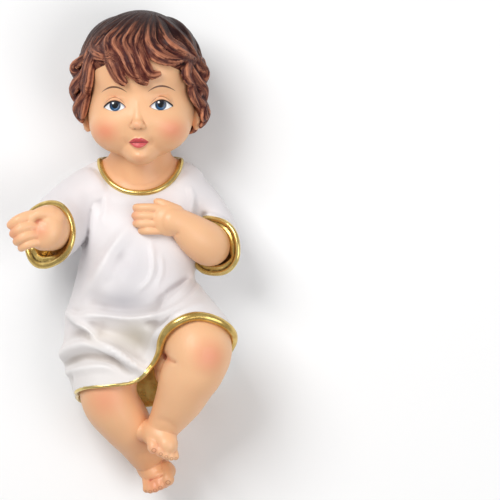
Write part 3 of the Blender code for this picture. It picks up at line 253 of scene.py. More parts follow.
LEFT_LEG = [  # places and radii from the hip over the raised knee to the ankle
    (9.8, -12.4, 13.0, 6.0), (12.4, -16.4, 19.0, 6.7), (14.9, -20.0, 23.2, 6.9), (14.3, -23.7, 23.2, 6.35),
    (12.6, -26.9, 21.9, 5.9), (11.1, -30.3, 20.2, 5.2), (9.4, -33.3, 18.6, 4.35), (7.9, -35.7, 17.4, 3.6),
]
RIGHT_LEG = [
    (-1.8, -19.0, 12.5, 6.4), (-3.8, -26.5, 15.4, 5.95), (-3.5, -31.2, 15.2, 5.9), (-0.6, -35.6, 13.2, 5.35),
    (1.9, -39.2, 10.6, 4.6), (3.8, -42.5, 8.3, 3.85),
]
HEM = [  # angle from the body's left side over its front, the place of the hem and its bead's radius
    (0, 21.2, -21.8, 16.6, 0.72), (15, 20.9, -18.4, 22.2, 0.84), (32, 19.2, -15.2, 26.2, 0.92),
    (42, 17.3, -13.8, 27.5, 0.96), (50, 15.1, -13.2, 28.0, 0.98), (58, 13.0, -13.7, 28.0, 0.98),
    (67, 10.8, -15.3, 27.2, 0.94), (77, 8.8, -17.6, 25.8, 0.88),
    (88, 6.9, -20.6, 24.0, 0.76), (98, 5.0, -24.0, 22.6, 0.62), (108, 2.3, -26.7, 22.3, 0.52),
    (122, -2.7, -27.6, 23.0, 0.46), (140, -7.6, -28.3, 20.0, 0.44), (160, -10.8, -30.2, 12.4, 0.40),
    (180, -10.9, -31.6, 5.8, 0.32), (200, -8.6, -32.4, 2.2, 0.38), (225, -2.6, -32.9, 1.4, 0.50),
    (255, 4.4, -32.6, 1.3, 0.50), (285, 10.2, -31.8, 1.3, 0.50), (315, 15.4, -30.0, 1.7, 0.50),
    (335, 18.5, -28.0, 4.4, 0.54), (350, 20.2, -25.2, 10.4, 0.62),
]
TORSO = [  # side y, how far the front drops, how far the back rises, then left, right, back and front
    (18.6, 6.9, 0.6, -6.0, 11.2, 4.4, 16.6),
    (17.7, 7.1, 0.3, -8.6, 13.6, 3.0, 17.4),
    (15.7, 6.6, 0.0, -10.4, 15.8, 1.7, 17.9),
    (11.5, 4.4, 0.0, -10.9, 16.8, 0.7, 18.9),
    (7.0, 2.4, 0.0, -10.6, 16.2, 0.0, 19.8),
    (1.0, 0.8, 0.0, -10.0, 15.0, -0.3, 20.6),
    (-4.0, 0.0, 0.0, -10.3, 13.8, -0.3, 21.2),
    (-9.0, 0.0, 0.0, -11.5, 14.4, -0.3, 21.5),
]


def through(columns, at, period=None):
    """A smooth curve through rows of (position, values ...), read at the given positions."""
    c = np.array(columns, float)
    if period:
        once_round = [period, *[0] * (c.shape[1] - 1)]
        c = np.vstack([c[-2:] - once_round, c, c[:2] + once_round])
    x = c[:, 0]
    slope = np.gradient(c[:, 1:], x, axis=0)
    k = np.clip(np.searchsorted(x, at, side="right") - 1, 0, len(x) - 2)
    h = (x[k + 1] - x[k])[:, None]
    t = ((at - x[k])[:, None]) / h
    p, q, m, n = c[k, 1:], c[k + 1, 1:], slope[k] * h, slope[k + 1] * h
    ease = 3 * t**2 - 2 * t**3
    return (1 - ease) * p + ease * q + (t**3 - 2 * t**2 + t) * m + (t**3 - t**2) * n


def outward(rings):
    """The surface directions of a grid of rings, away from its middle."""
    rings = np.asarray(rings, float)
    round_about = np.roll(rings, -1, 1) - np.roll(rings, 1, 1)
    along = np.gradient(rings, axis=0)
    n = unit(np.cross(round_about, along))
    away = rings - rings.mean(1, keepdims=True)
    return n * np.sign((n * away).sum())


def bag(name, rings, plain, out, depth, bead_radius, sink):
    """Cloth solid at its closed end, hollow at its mouth, with its gilt lining and the bead round the mouth.

    rings run from the closed end to the mouth, plain are these before any folds; out points from them.
    depth is the share of them that is hollow, and sink thickens the cloth away from the mouth."""
    first = round(len(plain) * (1 - depth))

    def inside(thick):
        deep = thick + sink * np.linspace(1, 0, len(plain) - first)[:, None, None] ** 0.7
        layer = (plain[first:] - out[first:] * deep)[::-1]
        middle = layer[-1].mean(0)
        return [*layer, middle + (layer[-1] - middle) * 0.6]

    body = loft(name, [*rings, *inside(WALL)])
    lining = loft(name + "_lining", [*inside(WALL - 0.15)[::-1], *inside(WALL + 0.25)])
    bead = tube_loop(name + "_bead", rings[-1] - out[-1] * WALL * 0.5, bead_radius)
    return body, [lining, bead]


def tube_loop(name, path, radius):
    """A round bead along a closed path."""
    tangent = unit(np.roll(path, -1, 0) - np.roll(path, 1, 0))
    across = unit(np.cross(tangent, unit(path - path.mean(0))))
    over = unit(np.cross(across, tangent))
    turn = circle(BEAD_SIDES)
    sizes = np.broadcast_to(radius, len(path))
    points = [p + (np.outer(np.cos(turn), a) + np.outer(np.sin(turn), o)) * r
              for p, a, o, r in zip(path, across, over, sizes)]
    return mesh_object(name, np.vstack(points), grid_faces(len(path), BEAD_SIDES, closed=True))


SLEEVES = {  # rings of each sleeve: middle, direction and half-widths, from the shoulder to the mouth
    "right": [
        ((-3.6, 11.0, 9.0), (-0.92, -0.34, 0.15), 5.3, 5.3),
        ((-6.0, 11.2, 9.8), (-0.86, -0.44, 0.25), 6.8, 6.7),
        ((-10.2, 8.9, 11.0), (-0.76, -0.48, 0.45), 6.6, 6.5),
        ((-13.1, 6.3, 13.0), (-0.68, -0.36, 0.64), 6.5, 6.5),
        ((-14.9, 4.4, 15.4), (-0.64, -0.12, 0.75), 6.8, 6.8),
        ((-16.1, 3.3, 17.6), (-0.66, 0.10, 0.75), 6.95, 7.1),
    ],
    "left": [
        ((7.6, 11.6, 9.0), (0.88, -0.46, 0.0), 5.3, 5.3),
        ((9.7, 11.6, 9.0), (0.80, -0.60, 0.05), 6.8, 6.7),
        ((13.7, 8.0, 8.6), (0.60, -0.78, 0.18), 6.55, 6.4),
        ((16.3, 4.2, 9.0), (0.20, -0.72, 0.66), 6.5, 6.3),
        ((17.3, 1.9, 11.2), (-0.25, -0.30, 0.92), 6.7, 6.3),
        ((18.0, 1.1, 14.0), (-0.56, -0.02, 0.82), 6.95, 6.15),
    ],
}


CUFF_WAVES = {  # angle round the mouth, half-width of the wave in radians and how far it stands out
    "right": [(200, 0.45, 0.55), (255, 0.40, -0.30), (320, 0.5, 0.25), (60, 0.5, -0.20), (126, 0.5, 1.00)],
    "left": [(30, 0.4, 0.25), (88, 0.4, 0.50), (150, 0.45, 0.05), (215, 0.4, -0.20), (296, 0.5, -0.50)],
}


def cuffed(rings, waves):
    """Sleeve rings with soft waves growing towards the mouth."""
    turn = circle(rings.shape[1])
    rise = np.zeros(len(turn))
    for at, wide, height in waves:
        away = np.angle(np.exp(1j * (turn - math.radians(at))))
        rise += height * np.exp(-((away / wide) ** 2))
    out = unit(rings - rings.mean(1, keepdims=True))
    grow = np.linspace(-0.4, 1, len(rings)).clip(0, 1)[:, None, None] ** 1.5
    return rings + out * rise[None, :, None] * grow


def sleeve_rings(rows, sides, count):
    """Rings swinging from the shoulder round the elbow to the mouth."""
    first, last = unit(rows[0][1]), unit(rows[-1][1])
    hinge = unit(np.cross(first, last))
    rings = []
    for middle, way, wide, tall in rows:
        way = unit(way)
        across = unit(np.cross(hinge, way))
        up = unit(np.cross(way, across))
        rings.append(ring(np.array(middle), across, up, wide, tall, sides))
    return smooth_rings(rings, count)


def torso_rings(sides):
    turn = circle(sides)
    cf, sf = superellipse(turn, 2.2)
    cb, sb = superellipse(turn, 2.9)
    front = np.sin(turn) > 0
    c, s = np.where(front, cf, cb), np.where(front, sf, sb)
    rings = []
    for y, drop, rise, left, right, low, high in TORSO:
        x = (left + right) / 2 + c * (right - left) / 2
        z = (low + high) / 2 + s * (high - low) / 2
        level = y - drop * np.maximum(np.sin(turn), 0) ** 1.2 + rise * np.maximum(-np.sin(turn), 0)
        rings.append(np.column_stack([x, level, z]))
    return turn, rings


# Folds of the robe

FRONT_FOLDS = [  # points on the figure's front, then half-width and height
    ([(1.2, 5.4), (-2.6, 0.4), (-5.6, -4.6), (-7.8, -8.6), (-9.2, -11.6)], 1.3, 0.95),
    ([(4.9, 2.4), (5.5, -2.4), (4.7, -6.0), (1.6, -9.4)], 0.5, 0.55),
    ([(6.8, -0.4), (7.3, -4.2), (6.0, -7.8)], 0.45, 0.36),
    ([(13.9, -3.0), (12.6, -7.2), (9.6, -10.0), (5.4, -12.4)], 0.9, 0.75),
    ([(16.0, -6.0), (13.8, -9.2), (10.2, -11.8)], 0.6, 0.45),
    ([(-14.4, -13.6), (-10.4, -13.6), (-4.4, -13.5), (0.6, -13.9), (6.4, -13.2), (10.9, -11.6), (14.8, -10.8)],
     0.95, 0.85),
    ([(-13.8, -11.8), (-10.4, -14.4), (-3.5, -19.6), (4.0, -24.9), (6.4, -26.8)], 0.9, 1.5),
    ([(13.0, -12.0), (8.9, -14.6), (6.0, -17.9), (4.4, -21.6)], 0.6, 0.75),
    ([(17.0, -10.6), (11.6, -13.0), (7.2, -17.0), (4.6, -20.4)], 1.0, 0.45),
    ([(-16.6, -24.2), (-13.2, -21.4), (-10.6, -19.9), (-7.0, -19.4), (-2.0, -21.4), (2.6, -25.0)], 1.2, 1.35),
    ([(-15.4, -26.4), (-9.7, -24.6), (-4.4, -23.9), (-1.6, -25.2)], 0.8, 0.75),
    ([(-7.2, 13.2), (-6.8, 7.6), (-7.8, 1.6), (-9.6, -3.0)], 0.9, 0.55),
    ([(-4.6, 12.4), (-4.4, 8.8), (-5.6, 4.6)], 0.6, 0.30),
    ([(12.4, 14.2), (13.6, 10.4), (13.0, 6.6)], 0.7, 0.45),
]
FRONT_HOLLOWS = [
    ([(-9.6, -10.0), (-3.8, -11.6), (2.4, -11.9), (7.6, -10.6), (11.0, -8.0)], 1.6, -0.9),
    ([(-8.4, -15.5), (-2.2, -16.8), (2.0, -18.8), (4.0, -22.0)], 1.9, -1.25),
    ([(3.0, -15.2), (6.8, -14.9), (9.8, -13.2)], 1.0, -0.6),
    ([(-12.4, -17.4), (-8.4, -17.4), (-3.4, -20.2)], 0.9, -0.6),
    ([(-14.2, -24.2), (-9.0, -22.0), (-4.0, -22.4), (0.0, -24.4)], 0.8, -0.9),
    ([(-9.2, 6.6), (-9.2, 1.8), (-9.9, -2.4)], 1.1, -0.85),
    ([(0.2, 0.2), (-2.4, -4.4), (-4.6, -8.4)], 2.0, -0.45),
    ([(14.6, 11.0), (14.9, 7.4), (14.2, 4.4)], 0.9, -0.55),
]
SWELLS = [  # middle, reach and height of a broad rise of the robe
    ((-13.2, -22.4, 8.0), (5.0, 3.0, 9.0), 0.75),
    ((-1.0, -6.0, 21.0), (8.0, 5.0, 6.0), 0.8),
    ((-12.6, -6.0, 10.0), (4.0, 5.0, 8.0), 0.3),
]


def swell(surface, directions, centre, reach, height):
    """surface moved out round a centre, fading with the distance."""
    gap = (surface - centre) / reach
    return surface + directions * (height * np.exp(-(gap**2).sum(-1)))[..., None]


def crease(surface, directions, path, width, height, facing):
    """surface moved out (or in) along a soft fold laid over the front or back of the figure."""
    points, normals = surface.reshape(-1, 3), directions.reshape(-1, 3)
    line = smooth_path([(*p, 0) for p in path], 40)[:, :2]
    best = np.full(len(points), 1e9)
    at = np.zeros(len(points))
    a, b = line[:-1], line[1:]
    flat = points[:, :2]
    for k, (p, q) in enumerate(zip(a, b)):
        d = q - p
        t = np.clip(((flat - p) @ d) / (d @ d), 0, 1)
        gap = np.linalg.norm(flat - p - t[:, None] * d, axis=1)
        near = gap < best
        best[near] = gap[near]
        at[near] = (k + t[near]) / len(a)
    fade = np.clip(np.minimum(at, 1 - at) * 4 + 0.12, 0, 1)
    face = np.clip((normals[:, 2] * facing + 0.3) * 1.6, 0, 1)
    moved = points + normals * (np.exp(-((best / width) ** 2)) * fade * face * height)[:, None]
    return moved.reshape(surface.shape)


def clear_of(points, stations, margin):
    """points pushed out of a limb so that they stay at least margin above its skin."""
    path = smooth_path(stations, 36)
    flat = points.reshape(-1, 3)
    gap = np.linalg.norm(flat[:, None] - path[None, :, :3], axis=2) - path[None, :, 3]
    near = gap.argmin(1)
    least = gap[np.arange(len(flat)), near]
    away = unit(flat - path[near, :3])
    lift = np.maximum(margin - least, 0)
    return (flat + away * lift[:, None]).reshape(points.shape)


FREE_RING = 32  # the first ring that the legs push out
CUFF_BEAD, NECK_BEAD = {"right": 0.95, "left": 0.76}, 0.88  # shares of the bead's radius
LEG_ROOM = 0.35  # least room between a leg and the inside of the robe
ROBE_HOLLOW, ROBE_SINK = 0.27, 1.5  # share of the length that is hollow, and how much thicker the cloth gets
CUFF_HOLLOW, CUFF_SINK = 0.16, 2.0


def robe_parts():
    """The white forms of the robe, then the gilt ones."""
    turn, upper = torso_rings(ROBE_SIDES)
    hem = through(HEM, np.degrees(turn), 360)
    hem, bead = hem[:, :3], hem[:, 3]
    waist = upper[-1]
    reach = np.linalg.norm(hem - waist, axis=1)[:, None]
    bend = waist + (unit((waist - waist.mean(0)) * [1, 0, 1]) * 0.06 + [0, -0.38, 0]) * reach
    bend[:, 0] -= 2.6 * np.exp(-(((np.degrees(turn) - 172) / 38) ** 2))
    lower = [(1 - t) ** 2 * waist + 2 * (1 - t) * t * bend + t**2 * hem for t in np.linspace(0, 1, 13)[1:]]
    rings = smooth_rings([*upper, *lower], ROBE_RINGS)
    for _ in range(3):
        for leg in (LEFT_LEG, RIGHT_LEG):
            rings[FREE_RING:] = clear_of(rings[FREE_RING:], leg, WALL + LEG_ROOM)
        soft = rings.copy()
        soft[1:-1] = 0.25 * (rings[:-2] + rings[2:]) + 0.5 * rings[1:-1]
        soft = 0.25 * (np.roll(soft, 1, 1) + np.roll(soft, -1, 1)) + 0.5 * soft
        rings[FREE_RING + 1 :] = soft[FREE_RING + 1 :]
    plain, out = rings, outward(rings)
    for centre, reach, height in SWELLS:
        rings = swell(rings, outward(rings), centre, reach, height)
    for path, width, height in FRONT_FOLDS + FRONT_HOLLOWS:
        rings = crease(rings, outward(rings), path, width, height, 1)
    body, gilt = bag("robe_body", rings, plain, out, ROBE_HOLLOW, bead, ROBE_SINK)
    collar = rings[0] * 0.985 + rings[0].mean(0) * 0.015 + (0, 0, 0.3)
    gilt.append(tube_loop("neck_bead", collar, RIM * NECK_BEAD))
    pieces = [body]
    for side, rows in SLEEVES.items():
        cloth = cuffed(sleeve_rings(rows, CUFF_SIDES, CUFF_RINGS), CUFF_WAVES[side])
        out = unit(cloth - cloth.mean(1, keepdims=True))
        bead = RIM * CUFF_BEAD[side]
        cuff, trim = bag(side + "_sleeve", cloth, cloth, out, CUFF_HOLLOW, bead, CUFF_SINK)
        pieces.append(cuff)
        gilt += trim
        gilt += lining_folds(side, cloth, unit(rows[-1][1]))
    return pieces, gilt


LINING_FOLDS = {  # the angles a fold runs between round the mouth, how far in and down it lies, its radius
    "right": [(160, 290, 0.76, 0.5, 0.70)],
    "left": [(50, 205, 0.735, 0.0, 0.42), (165, 350, 0.73, -0.1, 0.46), (180, 330, 0.60, 0.1, 0.46)],
}


def lining_folds(side, cloth, way):
    """Soft gilt folds of the lining, lying inside the mouth of a sleeve."""
    mouth = cloth[-1]
    middle = mouth.mean(0)
    made = []
    for start, end, inward, down, radius in LINING_FOLDS[side]:
        turns = np.radians(np.linspace(start, end, 15)) / (2 * math.pi) * len(mouth)
        share = np.linspace(-1, 1, 15)
        places = []
        for t, f in zip(turns, share):
            edge = mouth[round(t) % len(mouth)] - middle
            places.append(middle + edge * (inward + 0.08 * f * f) - way * (down + 0.5 * f * f))
        sizes = radius * np.clip(1 - share**2, 0, 1) ** 0.5 + 0.12
        made.append(sweep(side + "_lining_fold", [(*p, r) for p, r in zip(places, sizes)], sides=14, steps=48))
    return made


def smooth_rings(rings, count):
    """count rings on a smooth surface through the given ones."""
    rings = np.asarray(rings, float)
    middles = rings.mean(1)
    flat = np.column_stack([middles, rings.reshape(len(rings), -1)])
    return smooth_path(flat, count)[:, 3:].reshape(count, -1, 3)


# Head

HEAD_CENTRE = np.array([2.9, 33.1, 14.8])
HEAD_TURN = (4.0, -2.5, 1.0)  # nod, turn and tilt in degrees


def head_matrix():
    return Matrix.Translation(HEAD_CENTRE) @ rotation(HEAD_TURN)


def on_head(made):
    """made, built round the head's middle, turned with the head and set in its place."""
    made.data.transform(head_matrix())
    return made


HEAD_FORMS = [  # centre and radii of the head's masses: x to its left ear, y up and z to the nose
    ((0, 3.1, -0.6), (11.2, 12.3, 12.5)),
    ((0, -4.6, 2.0), (11.0, 9.6, 10.4)),
    ((-4.7, -7.0, 5.2), (5.6, 5.3, 5.6)),
    ((4.7, -7.0, 5.2), (5.6, 5.3, 5.6)),
    ((0, -11.8, 6.0), (3.8, 3.4, 4.4)),
    ((0, 4.2, 6.6), (9.0, 6.6, 5.4)),
]


HEAD_BLEND = 26  # higher keeps the masses more apart where they meet


def head_radius(ways):
    """How far the head reaches from its middle along each way: the masses above, blended."""
    total = np.zeros(len(ways))
    for centre, radii in HEAD_FORMS:
        c, r = np.array(centre, float), np.array(radii, float)
        w, o = ways / r, -c / r
        a = (w * w).sum(1)
        b = (w * o).sum(1)
        disc = b * b - a * ((o * o).sum() - 1)
        far = np.where(disc > 0, (-b + np.sqrt(np.maximum(disc, 0))) / a, 0)
        total += np.maximum(far, 1e-3) ** HEAD_BLEND
    return total ** (1 / HEAD_BLEND)


def bump(points, centre, radii, height, way):
    """points pushed along way by a soft bump of that height round centre."""
    q = (points - np.array(centre, float)) / np.array(radii, float)
    return points + np.exp(-(q * q).sum(1))[:, None] * height * unit(way)


def face_z(x, y):
    """How far forward the plain head reaches at x and y."""
    z = 11.0
    for _ in range(24):
        p = np.array([x, y, z])
        z += float(head_radius(unit(p)[None])[0]) - np.linalg.norm(p)
    return z


EYE = (4.7, -2.7)  # middle of an eye
EYE_BALL = 2.75


def plain_face(points):
    """Soft forms of the face on the plain head: sockets, cheeks, brows and chin."""
    for side in (-1, 1):
        eye = np.array([side * EYE[0], EYE[1], 10.6])
        points = bump(points, eye + (-side * 0.5, 0.2, 0), (3.0, 2.0, 4), -0.85, (0, 0, 1))
        points = bump(points, eye + (side * 0.2, 3.3, 0), (3.0, 1.2, 4), 0.34, (0, 0, 1))
        points = bump(points, (side * 5.8, -7.6, 9.6), (3.3, 2.9, 4), 0.45, (side * 0.5, 0, 1))
        points = bump(points, (side * 2.75, -10.2, 11.0), (0.6, 0.7, 3), -0.42, (0, 0, 1))
        points = bump(points, (side * 2.7, -8.3, 11.4), (0.8, 1.4, 3), -0.16, (0, 0, 1))
    points = bump(points, (0, 6.0, 11), (5.2, 4.0, 6), 0.30, (0, 0, 1))
    points = bump(points, (0, -9.9, 11.6), (2.3, 1.9, 4), 0.50, (0, 0, 1))
    points = bump(points, (0, -12.2, 11), (1.7, 0.5, 4), -0.38, (0, 0, 1))
    points = bump(points, (0, -13.6, 10), (2.1, 1.4, 4), 0.65, (0, -0.2, 1))
    return points


def on_face(rows, out):
    """Stations of a feature out from the face, from rows of (x, y, radius)."""
    return [(x, y, face_z(x, y) + out, r) for x, y, r in rows]


UPPER_LID = [  # places round the middle of an eye and radii, from its inner corner
    (-2.35, -0.50, 0.20), (-1.45, 0.74, 0.32), (-0.1, 1.26, 0.38), (1.25, 0.92, 0.36), (2.45, -0.20, 0.24),
]
LOWER_LID = [
    (-2.25, -0.62, 0.18), (-1.1, -1.16, 0.22), (0.2, -1.32, 0.24), (1.45, -1.0, 0.22), (2.35, -0.36, 0.18),
]
LID_FOLD = [(-2.1, 1.2, 0.3), (0.1, 2.15, 0.45), (2.3, 1.3, 0.3)]
UPPER_LIP = [(1.95, -10.3, 0.16), (1.15, -9.92, 0.42), (0.50, -9.66, 0.54), (0, -9.78, 0.48)]
LOWER_LIP = [
    (-1.6, -10.5, 0.2), (-0.8, -10.92, 0.54), (0, -11.02, 0.64), (0.8, -10.92, 0.54), (1.6, -10.5, 0.2),
]


def face_features():
    """Eyeballs, lids, nose and lips."""
    made = []
    for side in (-1, 1):
        x, y = side * EYE[0], EYE[1]
        front = face_z(x, y) - 0.30
        middle = np.array([x, y, front - EYE_BALL])
        made.append(blob("eyeball", middle, (EYE_BALL,) * 3))
        for rows in (UPPER_LID, LOWER_LID):
            stations = []
            for dx, dy, r in rows:
                deep = math.sqrt(max(EYE_BALL**2 - dx * dx - dy * dy, 1.4))
                stations.append((x + side * dx, y + dy, middle[2] + deep - 0.04, r))
            made.append(sweep("lid", stations, sides=14, up=(0, 1, 0.2)))
        fold = on_face([(side * (EYE[0] + dx), y + dy, r) for dx, dy, r in LID_FOLD], -0.66)
        made.append(sweep("fold", fold, sides=14, steps=14, up=(0, 1, 0.2)))
        made.append(blob("nostril_wing", (side * 0.98, -7.0, face_z(0, -7.0) + 0.22), (0.66, 0.58, 0.8)))
        lip = on_face([(side * x, y, r) for x, y, r in UPPER_LIP], 0.42)
        made.append(sweep("upper_lip", lip, sides=14, steps=14))
    made.append(sweep("lower_lip", on_face(LOWER_LIP, 0.42), sides=14, steps=16))
    base = face_z(0, -6.6)
    nose = [(0, -2.4, face_z(0, -2.4) - 1.35, 1.2), (0, -4.4, face_z(0, -4.4) - 1.0, 1.15),
            (0, -5.8, base - 0.3, 1.12), (0, -6.5, base + 0.15, 1.15)]
    made.append(sweep("nose", nose, sides=20, steps=14, up=(1, 0, 0)))
    made.append(blob("nose_tip", (0, -6.6, base + 0.55), (1.28, 1.02, 1.0)))
    return made


def head_part():
    made = ball("head", SKULL_DETAIL)
    ways = unit(points_of(made))
    set_points(made, plain_face(ways * head_radius(ways)[:, None]))
    return on_head(join("head", [made, *face_features()]))


def ear_parts():
    parts = []
    for side in (-1, 1):
        base = np.array([side * 10.6, -5.4, -0.4])
        t = np.radians(np.linspace(-70, 220, 9))
        rim = [(*(base + (side * 1.1, 2.5 * math.sin(a) + 0.2, -1.7 * math.cos(a) * 0.9)), 0.62) for a in t]
        parts.append(sweep("ear_rim", rim, sides=12, steps=24))
        parts.append(blob("ear_bowl", base + (side * 0.2, 0, 0), (0.9, 2.4, 1.7)))
        parts.append(blob("ear_lobe", base + (side * 0.7, -2.2, 0.6), (0.7, 0.9, 0.8)))
    return on_head(join("ears", parts))


# Hair

def hair_lift(ways):
    """How far the cap of hair stands off the head, below zero where the face, ears and neck are bare."""
    surface = ways * head_radius(ways)[:, None]
    x, y, z = surface.T
    brow = 6.4 - 0.030 * (x + 0.5) ** 2 - y
    side = (10.9 + 0.05 * y - np.abs(x)) * 1.4
    face = np.minimum(np.minimum(brow, side + 0.8), (z + 2.0) * 1.5)
    jaw = np.minimum(-4.6 - y, (z + 1.6) * 1.2)
    nape = -10.8 - y
    bare = np.maximum(np.maximum(face, jaw), nape)
    return 1.15 - 2.8 / (1 + np.exp(-bare / 0.45))


def hair_cap():
    made = ball("hair_cap", SKULL_DETAIL)
    ways = unit(points_of(made))
    set_points(made, ways * (head_radius(ways) + hair_lift(ways))[:, None])
    return on_head(made)


STRANDS = []  # the middle line, the direction across and the half-width of each lock
LOCK_GAP = 37.0  # keeps the locks' places along apart, so that no two share their streaks


def strap(name, ways, lifts, widths, flat=0.62, flutes=5, flute=0.10, steps=22):
    """A lock of hair along directions from the head's middle, lying on the head and ridged lengthwise."""
    rows = smooth_path(np.column_stack([np.asarray(ways, float), lifts, widths]), steps)
    way = unit(rows[:, :3])
    centres = way * (head_radius(way) + rows[:, 3])[:, None]
    radii = rows[:, 4]
    tangent = unit(np.gradient(centres, axis=0))
    across = unit(np.cross(tangent, way))
    over = unit(np.cross(across, tangent))
    STRANDS.append((centres, across, radii))
    turn = circle(LOCK_SIDES)
    profile = 1 + flute * np.cos(flutes * turn)
    rings = []
    for centre, aside, up, radius in zip(centres, across, over, radii):
        r = radius * profile
        rings.append(centre + (np.cos(turn) * r)[:, None] * aside + (np.sin(turn) * r * flat)[:, None] * up)
    return on_head(loft(name, rings))


def taper(count, width, tip=0.12, start=0.45, fullest=0.45):
    """Half-widths along a lock that starts at a share of its width, swells and ends in a point."""
    s = np.linspace(0, 1, count)
    rise = start + (1 - start) * np.clip(s / fullest, 0, 1) ** 0.7
    fall = tip + (1 - tip) * np.clip((1 - s) / (1 - fullest), 0, 1) ** 0.75
    return width * np.minimum(rise, fall)


def skull_way(x, y):
    """The direction from the head's middle to the front of the skull over x and y."""
    (cx, cy, cz), (rx, ry, rz) = HEAD_FORMS[0]
    inside = max(1 - ((x - cx) / rx) ** 2 - ((y - cy) / ry) ** 2, 0.0)
    return unit((x, y, cz + rz * math.sqrt(inside)))


CROWN = unit((0.6, 11.5, -4.5))


def swirl(turn_degrees, polar_degrees):
    """A direction at an angle round and away from the crown; 0 is down the back, 90 towards its left ear."""
    down = unit(np.array([0, 0, -1.0]) - CROWN * np.dot([0, 0, -1.0], CROWN))
    aside = np.cross(down, CROWN)
    a, p = math.radians(turn_degrees), math.radians(polar_degrees)
    return CROWN * math.cos(p) + (down * math.cos(a) + aside * math.sin(a)) * math.sin(p)


def flowing_locks(rng):
    """Long wavy locks from the crown over the back and sides."""
    made = []
    for layer, (count, spread, start, end, lift, width, wave) in enumerate((
        (15, 126, 12, 96, 0.75, 2.5, 6.0),
        (14, 112, 46, 118, 1.15, 2.2, 10.0),
        (13, 104, 72, 124, 1.5, 1.9, 13.0),
    )):
        for i in range(count):
            base = -spread + 2 * spread * (i + 0.5) / count + rng.uniform(-2.5, 2.5)
            last = end * (1 - 0.10 * (abs(base) / spread) ** 2) + rng.uniform(-3, 3)
            phase = rng.uniform(0, 2 * math.pi)
            steps = 9
            s = np.linspace(0, 1, steps)
            polar = start + (last - start) * s
            swing = np.sin(phase + s * math.pi * (1.3 + layer * 0.4))
            bend = wave * s**1.2 * swing / np.maximum(np.sin(np.radians(polar)), 0.4)
            ways = [swirl(base + b, p) for b, p in zip(bend, polar)]
            lifts = lift * (0.75 + 0.5 * np.sin(math.pi * s)) - 0.35 * (1 - s)
            made.append(strap("lock", ways, lifts, taper(steps, width * rng.uniform(0.88, 1.1), start=0.35)))
    return made


def curl(way, radius, turns, start, lift, width, clockwise=1):
    """A lock coiled on the head round way."""
    way = unit(way)
    aside = unit(np.cross((0, 1, 0.01), way))
    up = np.cross(way, aside)
    size = float(head_radius(way[None])[0])
    count = 5 + round(turns * 8)
    s = np.linspace(0, 1, count)
    angle = math.radians(start) + clockwise * s * turns * 2 * math.pi
    reach = radius * (1 - 0.72 * s) / size
    ways = [unit(way + (aside * math.cos(a) + up * math.sin(a)) * r) for a, r in zip(angle, reach)]
    widths = taper(count, width, tip=0.35, start=0.4, fullest=0.5)
    return strap("curl", ways, lift + 0.7 * s, widths, flat=0.8, flutes=4, steps=26)


FRINGE = [  # half-width, lift, then places from the crown to the tip: x, y and, at the sides, z
    (2.0, 0.85, [(-1.2, 14.7, 1.0), (-6.2, 12.8, 3.0), (-9.6, 9.8, 3.6), (-12.0, 7.4, 3.0), (-13.6, 5.6, 2.0)]),
    (2.0, 1.15, [(-3.0, 14.2, 2.6), (-7.4, 11.0, 5.4), (-9.2, 7.6, 6.6), (-10.2, 4.8, 6.2), (-12.0, 2.6, 4.4),
                 (-13.4, 2.2, 2.4)]),
    (1.8, 1.50, [(-6.2, 10.8, 7.0), (-8.4, 7.6, 7.6), (-9.5, 4.6, 6.9), (-10.4, 1.8, 5.8), (-11.6, -0.6, 4.2),
                 (-13.2, -1.0, 2.8)]),
    (1.6, 1.55, [(-9.9, 3.2, 6.2), (-10.9, 0.6, 4.8), (-11.0, -2.0, 4.4), (-11.4, -4.0, 3.6), (-11.9, -5.4, 2.6)]),
    (1.7, 1.65, [(-12.6, 7.0, -0.4), (-13.2, 3.8, 0.4), (-12.6, 0.4, 1.4), (-13.0, -2.6, 0.8), (-12.2, -5.4, 1.6)]),
    (1.8, 1.15, [(-0.6, 14.8), (-5.2, 12.4), (-8.0, 9.8), (-8.2, 8.0), (-6.6, 6.8), (-3.9, 5.8)]),
    (2.0, 1.35, [(0.4, 14.8), (-3.4, 12.0), (-5.2, 9.6), (-4.6, 7.4), (-3.9, 5.0), (-3.0, 2.6), (-1.8, 1.4)]),
    (1.6, 1.60, [(1.0, 14.7), (-2.2, 11.9), (-3.9, 9.0), (-2.6, 6.9), (-1.3, 4.6), (-0.4, 3.0), (0.9, 2.4)]),
    (1.8, 1.45, [(1.6, 14.7), (-0.8, 11.6), (-1.9, 8.9), (-0.6, 6.4), (0.2, 4.2), (0.8, 2.3), (2.2, 1.5)]),
    (1.6, 1.40, [(2.2, 14.6), (0.8, 11.3), (0.2, 8.7), (0.9, 6.2), (1.7, 4.3), (2.8, 3.0), (4.4, 3.2)]),
    (1.9, 1.25, [(2.8, 14.4), (2.4, 11.5), (2.5, 8.9), (3.9, 6.7), (6.0, 5.5), (8.0, 5.3)]),
    (2.1, 1.25, [(3.4, 14.2), (4.9, 11.2), (5.9, 8.8), (7.8, 7.1), (9.8, 6.0), (11.2, 4.6)]),
    (2.1, 1.30, [(3.8, 13.9, 3.0), (7.2, 11.4, 4.6), (9.6, 8.8, 4.4), (11.4, 6.4, 3.4), (12.9, 4.6, 2.0)]),
    (1.4, 1.50, [(6.6, 9.2), (8.8, 6.9), (9.0, 4.7), (8.7, 2.9), (9.7, 1.2), (10.5, -0.7)]),
    (1.3, 1.60, [(10.4, 5.0, 5.4), (11.2, 2.6, 4.8), (10.6, 0.4, 5.6), (10.7, -1.8, 5.2), (11.6, -3.6, 3.8)]),
    (1.5, 1.55, [(12.4, 5.4, 0.6), (12.9, 2.0, 1.2), (12.2, -0.8, 2.4), (12.4, -3.2, 1.8), (13.0, -5.2, 0.4),
                 (12.0, -7.4, 0.2)]),
]
